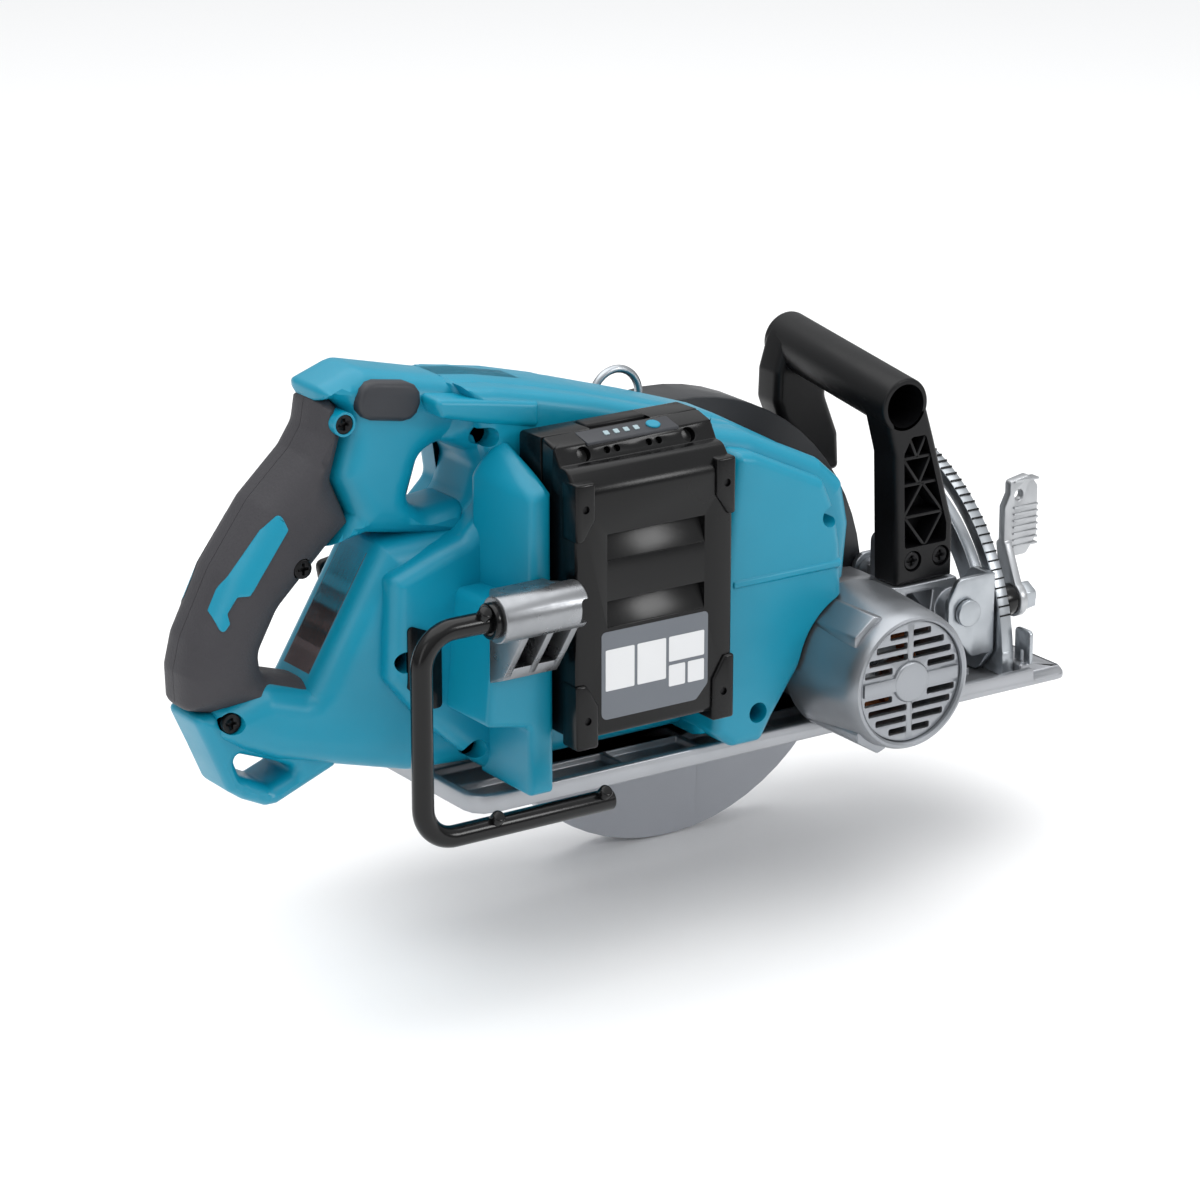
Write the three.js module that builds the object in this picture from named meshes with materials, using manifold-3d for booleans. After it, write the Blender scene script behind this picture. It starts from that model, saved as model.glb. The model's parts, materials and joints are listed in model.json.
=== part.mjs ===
// Rear-handle cordless circular saw: battery, brushless motor, spur reduction, 190 mm blade,
// guards, a base that tilts for depth and for bevel, two handles and a hanging hook.
// Millimetres. +X is the cutting direction, +Y points to the blade side, +Z is up.
// The origin is on the sole of the base, straight below the spindle, in the housing's parting plane.
import * as THREE from 'three';
import { mergeVertices } from 'three/addons/utils/BufferGeometryUtils.js';
import Module from 'manifold-3d';

// ---- driving dimensions ----------------------------------------------------------------
const GAP = 0.3; // clearance between pieces that touch or slide
const PIN_GAP = 0.3; // radial clearance of a pin in its bore

const BLADE = { y: 61, radius: 95, thickness: 1.8, teeth: 24, bore: 10 };
const SPINDLE = { x: 0, z: 29, radius: 6 };
const MOTOR = { x: 26.5, z: 37.2, endY: -94, endRadius: 30.3, rootRadius: 34, rootY: -48, innerRadius: 27 };
const GEAR = { pinionTeeth: 10, wheelTeeth: 38, y0: 36, y1: 43, addendum: 0.75, dedendum: 1.0 };

const BASE = {
  rear: -166, front: 158, near: -44, far: 95, floor: 3, rim: 8, rimWall: 4, corner: 10, ribWall: 2.5,
  slotRear: -108, slotFront: 108, slotNear: 29, slotFar: 74, noseFrom: 134,
};
const BEVEL = { y: 61, z: 8, radius: 94, band: 24, slotMid: 84, slotHalf: 4, boltAngle: 18, range: 56,
  guideX0: 126, guideX1: 132.5, topAngle: 80, pin: 2.5, boss: 4.6 };
const DEPTH = { x: 108, z: 36, pin: 4, boss: 8.5, armRadius: 226, armHalf: 10, slotHalf: 3.5, boltAngle: 3.6,
  range: 22, guideY0: 42, guideY1: 45 };
const BRACKET = { x0: 121.5, x1: 124.5, nearY: -28, sheet: 3, farY: 43.5 };

const UPPER = { outer: 106.5, wall: 2.2, nearY: 48, farY: 75, hubOpening: 32, farEdge: 24 };
const LOWER = { outer: 103, wall: 1.5, nearY: 52, farY: 70, hub: 25, from: -184, to: -2, travel: 115 };
const BOSS = { radius: 17, endY: 55.8, bearingRadius: 14 };
const LEVER = { ring: 66, stem: 3, knob: 6, angle: 158 };

const HANDLE_HALF = 19; // half width of the rear handle
const SKIN = 3.2; // thickness of the soft grip over the handle's core
const BODY_HALF = 30; // half width of the body between handle and motor
const WALL = 2.6; // wall of the housing shells
const POD_Y = -62; // near face of the column behind the battery
const COLUMN_Y = -58; // near face of the column in front of the battery

const BATTERY = { x0: -136.5, x1: -57.5, back: -33, front: -76, bottom: 37, top: 163, wall: 2.4, splitY: -50 };
const CELL = { radius: 9.2, length: 65, rows: 5, pitch: 19.4 };

const HOOK = { y: -85, z: 102, rod: 4.6, barrel: 10, barrelX0: -182, barrelX1: -142, dropX: -217, lowZ: 13,
  tipX: -125, bend: 15 };
const RING = { x: -41, y: 36, z: 134, radius: 12.2, wire: 1.8, lugHalf: 3 };
const FRONT_GRIP = { nearX: 80, nearY: -16, nearZ: 134.6, farX: 88, farY: 85, farZ: 143.5, radius: 12.5, bore: 10 };
const SCREW = { head: 4.2, headHeight: 3, shank: 2, length: 18 };

// ---- solids ----------------------------------------------------------------------------
const wasm = await Module();
wasm.setup();
const rad = THREE.MathUtils.degToRad;

// A closed geometry as a solid: shared corners merged, slivers dropped, faces turned outwards.
function solid(geometry) {
  const bare = geometry.clone();
  bare.deleteAttribute('normal');
  bare.deleteAttribute('uv');
  const merged = mergeVertices(bare, 1e-4);
  const p = merged.attributes.position.array;
  const index = merged.index.array;
  const tris = [];
  let volume = 0;
  for (let i = 0; i < index.length; i += 3) {
    const [a, b, c] = [index[i], index[i + 1], index[i + 2]];
    if (a === b || b === c || a === c) continue;
    tris.push(a, b, c);
    const [A, B, C] = [a, b, c].map((k) => new THREE.Vector3().fromArray(p, 3 * k));
    volume += A.dot(B.cross(C)) / 6;
  }
  if (volume < 0) {
    for (let i = 0; i < tris.length; i += 3) [tris[i], tris[i + 1]] = [tris[i + 1], tris[i]];
  }
  return new wasm.Manifold(new wasm.Mesh({
    numProp: 3, vertProperties: new Float32Array(p), triVerts: new Uint32Array(tris),
  }));
}

function geometryOf(body) {
  const mesh = body.getMesh();
  const geometry = new THREE.BufferGeometry();
  geometry.setAttribute('position', new THREE.BufferAttribute(new Float32Array(mesh.vertProperties), 3));
  geometry.setIndex(new THREE.BufferAttribute(new Uint32Array(mesh.triVerts), 1));
  return geometry;
}

const join = (first, ...rest) => rest.reduce((a, b) => a.add(b), first);
const cut = (first, ...rest) => rest.reduce((a, b) => a.subtract(b), first);

function mirrorY(body) {
  return solid(geometryOf(body).scale(1, -1, 1));
}

// Corner points with an optional third value, the radius that rounds the corner.
function rounded(points, steps = 3) {
  const path = [];
  const n = points.length;
  points.forEach(([x, y, r], i) => {
    const here = new THREE.Vector2(x, y);
    if (!r) {
      path.push(here);
      return;
    }
    const before = new THREE.Vector2(...points[(i + n - 1) % n].slice(0, 2)).sub(here);
    const after = new THREE.Vector2(...points[(i + 1) % n].slice(0, 2)).sub(here);
    const half = Math.acos(before.clone().normalize().dot(after.clone().normalize())) / 2;
    const reach = Math.min(r / Math.tan(half), 0.45 * before.length(), 0.45 * after.length());
    const radius = reach * Math.tan(half);
    const mid = before.clone().normalize().add(after.clone().normalize()).normalize();
    const centre = here.clone().addScaledVector(mid, radius / Math.sin(half));
    const from = here.clone().addScaledVector(before.normalize(), reach).sub(centre);
    const to = here.clone().addScaledVector(after.normalize(), reach).sub(centre);
    const turn = Math.atan2(from.cross(to), from.dot(to));
    for (let k = 0; k <= steps; k += 1) {
      path.push(from.clone().rotateAround(new THREE.Vector2(), (turn * k) / steps).add(centre));
    }
  });
  return path;
}

// An outline moved inwards (or outwards where d is negative) by d.
function inset(points, d) {
  const p = points.map((q) => new THREE.Vector2(q[0], q[1]));
  const side = THREE.ShapeUtils.area(p) > 0 ? 1 : -1;
  return p.map((here, i) => {
    const a = here.clone().sub(p[(i + p.length - 1) % p.length]).normalize();
    const b = p[(i + 1) % p.length].clone().sub(here).normalize();
    const na = new THREE.Vector2(-a.y, a.x).multiplyScalar(side);
    const nb = new THREE.Vector2(-b.y, b.x).multiplyScalar(side);
    const sum = na.clone().add(nb);
    const moved = here.clone().addScaledVector(sum, (2 * d) / Math.max(sum.lengthSq(), 1));
    return [moved.x, moved.y, points[i][2]];
  });
}

function extrude(points, depth) {
  return new THREE.ExtrudeGeometry(new THREE.Shape(rounded(points)), { depth, bevelEnabled: false });
}
const X = new THREE.Vector3(1, 0, 0);
const Y = new THREE.Vector3(0, 1, 0);
const Z = new THREE.Vector3(0, 0, 1);
const frameXZ = new THREE.Matrix4().makeBasis(X, Z, Y.clone().negate());
const frameYZ = new THREE.Matrix4().makeBasis(Y, Z, X);

// A slab of an outline in the plane named, between two values of the third axis.
const slabY = (points, y0, y1) => solid(extrude(points, y1 - y0).applyMatrix4(frameXZ).translate(0, y1, 0));
const slabX = (points, x0, x1) => solid(extrude(points, x1 - x0).applyMatrix4(frameYZ).translate(x0, 0, 0));
const slabZ = (points, z0, z1) => solid(extrude(points, z1 - z0).translate(0, 0, z0));

function box(x0, x1, y0, y1, z0, z1) {
  const shape = new THREE.BoxGeometry(x1 - x0, y1 - y0, z1 - z0);
  return solid(shape.translate((x0 + x1) / 2, (y0 + y1) / 2, (z0 + z1) / 2));
}

function rodY(x, z, r, y0, y1, sides = 18) {
  return solid(new THREE.CylinderGeometry(r, r, y1 - y0, sides).translate(x, (y0 + y1) / 2, z));
}

function rodX(y, z, r, x0, x1, sides = 16) {
  const shape = new THREE.CylinderGeometry(r, r, x1 - x0, sides).rotateZ(Math.PI / 2);
  return solid(shape.translate((x0 + x1) / 2, y, z));
}

function rodZ(x, y, r, z0, z1, sides = 18) {
  const shape = new THREE.CylinderGeometry(r, r, z1 - z0, sides).rotateX(Math.PI / 2);
  return solid(shape.translate(x, y, (z0 + z1) / 2));
}

// A turned piece about a line along Y: profile points are [radius, y].
function turnedY(profile, x, z, sides = 24) {
  const points = profile.map(([r, y]) => new THREE.Vector2(r, y));
  return solid(new THREE.LatheGeometry(points, sides).translate(x, 0, z));
}

const ringY = (x, z, inner, outer, y0, y1, sides = 24) =>
  turnedY([[inner, y0], [outer, y0], [outer, y1], [inner, y1], [inner, y0]], x, z, sides);

// The outline of a ring's part between two angles, in degrees from the first axis to the second.
function sector(cx, cy, r0, r1, from, to, steps = 18) {
  const arc = (r, a, b) => Array.from({ length: steps + 1 }, (_, i) => {
    const t = rad(a + ((b - a) * i) / steps);
    return [cx + r * Math.cos(t), cy + r * Math.sin(t)];
  });
  return [...arc(r1, from, to), ...arc(r0, to, from)];
}

function disc(cx, cy, r, steps = 24) {
  return Array.from({ length: steps }, (_, i) => {
    const t = (2 * Math.PI * i) / steps;
    return [cx + r * Math.cos(t), cy + r * Math.sin(t)];
  });
}

// ---- looks and the assembly --------------------------------------------------------------
const look = (color, roughness, metalness = 0) => ({ color, roughness, metalness });
const TEAL = look('#0b93ad', 0.42);
const RUBBER = look('#3a393c', 0.8);
const BLACK = look('#141415', 0.3);
const NYLON = look('#1d1d1f', 0.45);
const CAST = look('#9a9b9c', 0.5, 0.6);
const DARK = look('#2c2d2f', 0.4, 0.3);
const ZINC = look('#b9c0c4', 0.3, 0.9);
const STEEL = look('#8f9194', 0.3, 1);
const COPPER = look('#a5673f', 0.5, 0.6);

const saw = new THREE.Group();

function piece(name, body, finish) {
  const mesh = new THREE.Mesh(geometryOf(body), new THREE.MeshStandardMaterial(finish));
  mesh.name = name;
  saw.add(mesh);
}

// ---- rear handle and body shells ---------------------------------------------------------
// Outlines in the X-Z plane.
const SOFT_GRIP = [
  [-219.5, 182.5, 3], [-221.5, 170.5, 8], [-227.5, 161.5, 8], [-247.5, 143, 20], [-266.5, 117, 20],
  [-280.5, 89.5, 14], [-284, 75.5, 10], [-283.5, 60, 4], [-273, 57], [-259, 55], [-240, 50], [-223, 45.5, 3],
  [-217, 55, 4],
  [-227, 63.5, 8], [-247.5, 70, 6], [-248.5, 80, 8], [-239.5, 96.5, 16], [-216.5, 118.5, 10],
  [-204.5, 128.5, 3], [-213, 148.5, 4], [-207.5, 167, 4], [-208, 178, 4], [-213, 182.5, 3],
];
const FRAME = [ // cap, beam over the trigger and the strip in front of the soft grip
  [-219.5, 187.5, 4], [-201, 194, 10], [-160, 184], [-143, 181.5], [-119, 176], [-119, 150], [-150, 150, 6],
  [-162, 156.5, 8], [-179, 157, 8], [-196.5, 135, 4], [-196, 127, 3], [-172, 122.5, 6], [-150, 126, 6],
  [-150, 112], [-172, 117.5, 8], [-198, 122.5, 4], [-220, 122], [-228, 160],
];
const BODY = [
  [-160, 184], [-143, 181.5], [-119, 176], [-94, 169.5], [-58, 158.5], [-34, 150.5], [-21, 146], [12, 128],
  [37, 112, 4], [38, 98, 6], [34, 80, 4], [-10, 80], [-16, 24], [-20, 12, 3], [-52, 13], [-150, 13],
  [-181, 15, 20], [-222, 26.5, 10], [-245, 33], [-262, 41], [-272, 48, 4], [-272, 60], [-250, 68],
  [-229, 61], [-194, 118.5, 3], [-160, 120], [-150, 131, 8], [-146, 144, 6], [-150, 151, 4], [-165, 158],
];
const FOOT = [
  [-281.5, 58, 3], [-273, 39, 8], [-266, 22.5, 6], [-259, 17.5, 4], [-248.5, 12.5, 4], [-243.5, 12.5, 4],
  [-214, 24], [-245, 40], [-272, 56],
];
const FOOT_EYE = [[-264.5, 39.5, 3], [-260.5, 28.5, 4], [-246.5, 21, 3], [-233, 26, 2], [-245, 32, 4]];
const GRIP_BRIDGE = [[-216, 178], [-201, 178], [-190, 130], [-222, 136]];
const INLAY = [
  [-241.5, 140], [-239, 133], [-257.5, 108], [-262.5, 108], [-267, 101.5], [-266.5, 97.5], [-270, 93],
  [-273, 104], [-271, 107.5], [-249.5, 133.5],
];
const TRIGGER_SLOT = [[-216, 172], [-166, 172], [-160, 128.3], [-216, 128.3]];
const GRIP_CAVITY = [[-216, 160], [-206, 168], [-196, 130], [-238, 104], [-257, 108], [-238, 140]];
const BODY_CAVITY = [[-178, 108], [-196, 80], [-190, 30], [-60, 22], [-60, 140], [-112, 150], [-136, 140]];
const LOCK_OFF = { x: -190.7, z: 179.9, length: 30, height: 16.5, tilt: -10, reach: 21.5, travel: 3 };
const SCREWS = { beam: [-211.3, 173], grip: [-232, 114.7], rear: [-267.1, 54.6], body: [-190.7, 69.7] };
const PAD = { top: [-194, 118.5], bottom: [-229, 61], thick: 3, half: 11 };

function lockOffOutline(grow) {
  const l = LOCK_OFF.length / 2 + grow;
  const h = LOCK_OFF.height / 2 + grow;
  const a = rad(LOCK_OFF.tilt);
  return [[-l, -h], [l, -h], [l, h], [-l, h]].map(([u, v]) => [
    LOCK_OFF.x + u * Math.cos(a) - v * Math.sin(a), LOCK_OFF.z + u * Math.sin(a) + v * Math.cos(a), h,
  ]);
}

// The strip seat for the pad on the rear of the body, as a band along the edge of the hand opening.
function padOutline(from, to) {
  const a = new THREE.Vector2(...PAD.top);
  const b = new THREE.Vector2(...PAD.bottom);
  const along = b.clone().sub(a).normalize();
  const inward = new THREE.Vector2(-along.y, along.x);
  const inside = inward.x > 0 ? inward : inward.negate();
  a.addScaledVector(along, 5);
  b.addScaledVector(along, -5);
  return [[a, from], [b, from], [b, to], [a, to]].map(([p, d]) => {
    const q = p.clone().addScaledVector(inside, d);
    return [q.x, q.y];
  });
}

// Half of what both shells share, on the near side of the parting plane.
function handleHalf() {
  const inner = -GAP / 2;
  const outside = -HANDLE_HALF;
  const core = slabY(inset(SOFT_GRIP, SKIN + GAP), outside + SKIN + GAP, inner);
  const bridge = slabY(GRIP_BRIDGE, outside + SKIN + GAP, inner);
  const shellParts = join(
    slabY(FRAME, outside, inner), slabY(BODY, outside, inner), slabY(FOOT, outside + 2, inner),
    slabY([[-160, 118.5], [-172, 115], [-192, 106], [-192, 62], [-176, 44], [-150, 13.5], [-100, 13.5],
      [-100, 168], [-150, 170], [-147, 152], [-143, 143], [-147, 131]], -BODY_HALF + 6, inner),
  );
  let half = cut(shellParts, slabY(inset(SOFT_GRIP, -GAP), outside - 1, 1), slabY(FOOT_EYE, outside - 1, 1));
  half = join(half, core, bridge, slabY(INLAY, outside - 0.2, outside + SKIN + 1));
  half = cut(
    half,
    slabY(TRIGGER_SLOT, -8, 1),
    slabY(GRIP_CAVITY, -HANDLE_HALF + SKIN + WALL, 1),
    slabY(BODY_CAVITY, -HANDLE_HALF + WALL, 1),
    slabY(lockOffOutline(GAP), outside - 1, 1),
    slabY(padOutline(-2, PAD.thick + GAP), -PAD.half - GAP, 1),
  );
  return half;
}

function softGripHalf() {
  const outside = -HANDLE_HALF;
  return cut(
    slabY(SOFT_GRIP, outside, -GAP / 2),
    slabY(inset(SOFT_GRIP, SKIN), outside + SKIN, 1),
    slabY(inset(GRIP_BRIDGE, -GAP), outside + SKIN, 1),
    slabY(inset(INLAY, -GAP), outside - 1, 1),
    slabY(TRIGGER_SLOT, -8 - GAP, 1),
  );
}

const screwSeat = ([x, z], y) => join(
  rodY(x, z, SCREW.head + 1, y - 30, y + 4, 16), rodY(x, z, SCREW.shank + 0.4, y, y + SCREW.length + 2, 8),
);
const screwAt = ([x, z], y) => join(
  rodY(x, z, SCREW.head, y + 4 - SCREW.headHeight - GAP, y + 4 - GAP, 16),
  rodY(x, z, SCREW.shank, y + 1, y + SCREW.length, 8),
);

// The column behind the battery: a block below, above it a rib that leans out to the near face.
function rearColumn() {
  const back = -BODY_HALF + 6;
  const block = slabY([[-172, 46], [-150, 42], [-150, 11, 2], [-137.5, 11, 2], [-137.5, 98], [-166, 98, 4]],
    POD_Y, back + 1);
  const rib = slabY([[-148, 90], [-137.5, 90], [-137.5, 147, 3], [-148, 158.5, 3]], POD_Y, back + 1);
  const brace = slabX([[POD_Y + 0.5, 98], [back + 1, 98], [back + 1, 168], [POD_Y + 14, 140]], -160, -147);
  const top = slabY([[-160, 140], [-137.5, 140], [-137.5, 148], [-160, 174]], POD_Y + 14, back + 1);
  return join(block, rib, brace, top);
}

// The column in front of the battery, hollowed round the motor.
function frontColumn() {
  const near = slabY([
    [-40, 143, 3], [-31.4, 140.6], [5, 123.3, 5], [11.5, 108], [14, 93], [12, 82, 3], [-14, 82], [-24, 30],
    [-21, 20], [-27, 9.8, 4], [-42, 9.8, 4], [-52, 18], [-50, 60],
  ], COLUMN_Y, -40);
  const middle = slabY([
    [-53, 151], [-34, 145.5], [-21, 140.5], [10, 124], [24, 113, 4], [27, 98], [23, 80], [-10, 80], [-20, 30],
    [-18, 14], [-22, 9.8, 3], [-46, 9.8, 4], [-53, 16],
  ], -44, -BODY_HALF);
  const root = slabY([
    [-56, 153], [-34, 147], [-21, 142], [11, 125.5], [35, 110, 4], [36.5, 98], [32, 80], [-10, 80], [-20, 30],
    [-18, 14], [-22, 9.8, 3], [-46, 9.8, 4], [-56, 16],
  ], -BODY_HALF - 1, -HANDLE_HALF + 1);
  return join(near, middle, root);
}

const motorClear = rodY(MOTOR.x, MOTOR.z, 38, -110, 60, 36);
const TERMINAL = { x0: -112, x1: -82, z0: 100, z1: 128, front: -31.5, back: -16 };

function housingRight() {
  const battery = box(BATTERY.x0 - 0.7, BATTERY.x1 + 2, BATTERY.front - 5, -BODY_HALF - 0.5, 30, 200);
  let body = join(
    handleHalf(),
    slabY([[-140, 13.5], [-40, 13.5], [-20, 13], [-16, 24], [-10, 80], [34, 80], [37.5, 98], [36, 110],
      [12, 125], [-21, 142], [-58, 154], [-94, 165], [-119, 171], [-140, 175]], -BODY_HALF, -HANDLE_HALF + 1),
    rearColumn(),
    frontColumn(),
  );
  body = cut(
    body, battery, motorClear,
    slabY([[-139, 200], [-90, 200], [-86, 158, 4], [-130, 158, 4]], -BODY_HALF - 1, -14),
    slabY([[-134, 30], [-58, 24], [-58, 150], [-110, 150], [-134, 136]], -BODY_HALF + WALL, 1),
    box(TERMINAL.x0 - GAP, TERMINAL.x1 + GAP, -40, 0, TERMINAL.z0 - GAP, TERMINAL.z1 + GAP),
    ...Object.values(SCREWS).map((at) => screwSeat(at, -HANDLE_HALF)),
    rodY(-148.3, 159.5, 4.5, -90, -12, 16),
    rodY(-156, 24, 4.5, -90, -14, 16),
    rodY(8, 106, 4.2, -90, -50, 16),
    rodY(-30, 24, 4.2, -90, -50, 16),
  );
  return body;
}

function housingLeft() {
  const slab = slabY([[-140, 13.5], [-40, 13.5], [-40, 80], [-36, 146], [-58, 154], [-94, 165], [-119, 171],
    [-140, 175], [-140, 60]], HANDLE_HALF - 1, BODY_HALF);
  const lug = slabX([[BODY_HALF - 1, 118], [RING.y, 124], [RING.y + 6, 130, 2], [RING.y + 6, 139, 3],
    [BODY_HALF - 1, 139]], RING.x - RING.lugHalf, RING.x + RING.lugHalf);
  const trim = join(
    box(-36, 60, -1, 60, -5, 190), // room for the gear housing
    slabY([[-36, 190], [-36, 80], [-42, 80], [-42, 5], [-10, 5], [-10, 190]], -1, 60),
  );
  const shell = cut(mirrorY(handleHalf()), trim);
  return cut(
    join(shell, slab, lug),
    slabY([[-148, 30], [-60, 24], [-60, 150], [-110, 150], [-148, 140]], -1, BODY_HALF - WALL),
    rodX(RING.y, RING.z, RING.wire + 1.3, RING.x - 5, RING.x + 5),
    ...Object.values(SCREWS).map(([x, z]) => rodY(x, z, SCREW.shank + 0.4, -1, 8, 12)),
  );
}

piece('housing_right', housingRight(), TEAL);
piece('housing_left', housingLeft(), TEAL);
piece('grip_overmould_right', cut(softGripHalf(), ...Object.values(SCREWS).map((at) =>
  screwSeat(at, -HANDLE_HALF))), RUBBER);
piece('grip_overmould_left', mirrorY(softGripHalf()), RUBBER);
piece('throat_pad', slabY(padOutline(0, PAD.thick), -PAD.half, PAD.half), look('#6a5f60', 0.85));
Object.entries(SCREWS).forEach(([name, at]) =>
  piece(`housing_screw_${name}`, screwAt(at, -HANDLE_HALF), BLACK));
piece('rating_plate', slabY([[-186, 87, 2], [-173.5, 79], [-173.5, 46, 3], [-178, 50, 2]],
  -BODY_HALF + 6 - 1.3, -BODY_HALF + 6 - GAP), look('#111111', 0.35));

// ---- trigger, lock-off button, electronics -------------------------------------------------
const TRIGGER = { x: -172, z: 164, half: 7.2, pin: 2 };
piece('trigger', cut(slabY([
  [-192, 169, 2], [-169, 169, 3], [-168.5, 153, 6], [-175.8, 131, 2], [-196, 129.5, 2], [-200, 136],
], -TRIGGER.half, TRIGGER.half), rodY(TRIGGER.x, TRIGGER.z, TRIGGER.pin, -20, 20, 12)), look('#26282b', 0.5));
piece('trigger_switch', join(
  box(-215, -206, -7.5, 7.5, 136, 158), rodX(0, 150, 3, -207, -200.5, 12),
), NYLON);
piece('lock_off_button', slabY(lockOffOutline(0), -LOCK_OFF.reach, LOCK_OFF.reach), look('#3b3d41', 0.55));
piece('controller', join(
  box(-176, -128, 4 - HANDLE_HALF, HANDLE_HALF - 4, 34, 42),
  ...Array.from({ length: 6 }, (_, i) => box(-174 + i * 8, -171 + i * 8, 5 - HANDLE_HALF, HANDLE_HALF - 5, 41, 52)),
), look('#77797b', 0.5, 0.7));
piece('battery_terminal', join(
  box(TERMINAL.x0, TERMINAL.x1, TERMINAL.front, TERMINAL.back, TERMINAL.z0, TERMINAL.z1),
), NYLON);

// ---- battery pack --------------------------------------------------------------------------
const packSide = [
  [BATTERY.back, BATTERY.bottom], [BATTERY.back, BATTERY.top], [-58, 161.5, 8], [-70, 157, 8],
  [BATTERY.front, 147, 8], [BATTERY.front, BATTERY.bottom, 2],
];
const packSolid = slabX(packSide, BATTERY.x0, BATTERY.x1);
const packHollow = slabX(inset(packSide.map(([y, z]) => [y, z]), BATTERY.wall),
  BATTERY.x0 + BATTERY.wall, BATTERY.x1 - BATTERY.wall);
const LATCH = { x0: -112, x1: -82, y0: -47, y1: -38, top: 163, travel: 4 };
const GAUGE = { x0: -122, x1: -74, y0: -62, y1: -51.5 };
const latchWell = box(LATCH.x0 - GAP, LATCH.x1 + GAP, LATCH.y0 - GAP, LATCH.y1 + GAP, 152, 170);
const gaugeSeat = slabX([[GAUGE.y0 - GAP, 159], [GAUGE.y1 + GAP, 159.6], [GAUGE.y1 + GAP, 170],
  [GAUGE.y0 - GAP, 170]], GAUGE.x0 - GAP, GAUGE.x1 + GAP);
const far = 400;
piece('battery_case', cut(packSolid, packHollow, latchWell, gaugeSeat,
  box(-far, far, -far, BATTERY.splitY + GAP / 2, -far, far)), BLACK);
piece('battery_cover', cut(
  packSolid, packHollow, gaugeSeat, box(-far, far, BATTERY.splitY - GAP / 2, far, -far, far),
  ...[90, 119].map((z) => slabX([[BATTERY.front - 1, z - 5.5], [BATTERY.front - 1, z + 5.5],
    [BATTERY.front + 1.6, z + 4], [BATTERY.front + 1.6, z - 5.5]], BATTERY.x0 + 14, BATTERY.x1 - 14)),
), BLACK);
piece('battery_latch', box(LATCH.x0, LATCH.x1, LATCH.y0, LATCH.y1, 156.5, LATCH.top + 1), NYLON);
piece('battery_gauge', slabX([[GAUGE.y0, 159 + GAP], [GAUGE.y1, 159.6 + GAP], [GAUGE.y1, 162.4],
  [GAUGE.y0, 161.6]], GAUGE.x0, GAUGE.x1), look('#1b1b1d', 0.4));

function cells() {
  const x0 = (BATTERY.x0 + BATTERY.x1 - CELL.length) / 2;
  const parts = [];
  const columns = [BATTERY.back - BATTERY.wall - CELL.radius - 0.6, BATTERY.front + BATTERY.wall + CELL.radius + 0.6];
  for (let row = 0; row < CELL.rows; row += 1) {
    const z = BATTERY.bottom + BATTERY.wall + CELL.radius + 1 + row * CELL.pitch;
    columns.forEach((y) => parts.push(rodX(y, z, CELL.radius, x0, x0 + CELL.length, 8)));
  }
  const z0 = BATTERY.bottom + BATTERY.wall + 2;
  const z1 = z0 + CELL.rows * CELL.pitch - 3;
  [x0 + 5, x0 + CELL.length - 9].forEach((x) => parts.push(box(x, x + 4, columns[1], columns[0], z0, z1)));
  return join(...parts);
}
piece('battery_cells', cells(), look('#3f7f63', 0.4));

// ---- motor -----------------------------------------------------------------------------------
const M = MOTOR;
const STATOR = { outer: 24, inner: 15.2, y0: -66, y1: -24 };
const canProfile = [
  [STATOR.outer + GAP, -13.6], [M.innerRadius, -13.6], [M.innerRadius, M.rootY + 2], [M.rootRadius, M.rootY],
  [M.rootRadius, M.rootY - 8], [M.endRadius + 1.2, M.endY + 8], [M.endRadius, M.endY + 1.5],
  [M.endRadius - 1.2, M.endY], [M.endRadius - 3, M.endY], [M.endRadius - 3, M.endY + 6],
  [STATOR.outer + GAP, M.endY + 10], [STATOR.outer + GAP, -13.6],
];
const flatTop = slabY([[-4, 58], [14, 58], [26, 70.5], [4, 70.5]].map(([x, z]) => [x, z]), M.endY + 6, M.rootY);
piece('motor_housing', join(
  turnedY(canProfile, M.x, M.z, 32),
  cut(flatTop, rodY(M.x, M.z, M.endRadius - 0.6, -110, 0, 32)),
), CAST);

function louvre() {
  const r = M.endRadius - 3 - GAP;
  let plate = turnedY([[0, M.endY + 0.6], [r, M.endY + 0.6], [r, M.endY + 4], [0, M.endY + 4]], M.x, M.z, 20);
  plate = join(plate, rodY(M.x, M.z, 10, M.endY + 0.2, M.endY + 4),
    rodY(M.x, M.z, 9.5, M.endY + 3, M.endY + 10));
  const slots = [];
  [-1, 1].forEach((side) => [0, 1, 2, 3].forEach((row) => {
    const z = M.z + side * (6.2 + row * 5.2);
    const reach = Math.sqrt(Math.max(0, (r - 3) ** 2 - (Math.abs(z - M.z) + 1.5) ** 2));
    const inner = Math.abs(z - M.z) < 11 ? 11 : 3;
    if (reach < inner + 1) return; // a smaller end plate has fewer slots
    slots.push(box(M.x - reach, M.x - inner, -120, -80, z - 1.4, z + 1.4));
    slots.push(box(M.x + inner, M.x + reach, -120, -80, z - 1.4, z + 1.4));
  }));
  return cut(plate, ...slots, rodY(M.x, M.z, 8, M.endY + 5, -70, 16));
}
piece('motor_louvre', louvre(), CAST);

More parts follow.
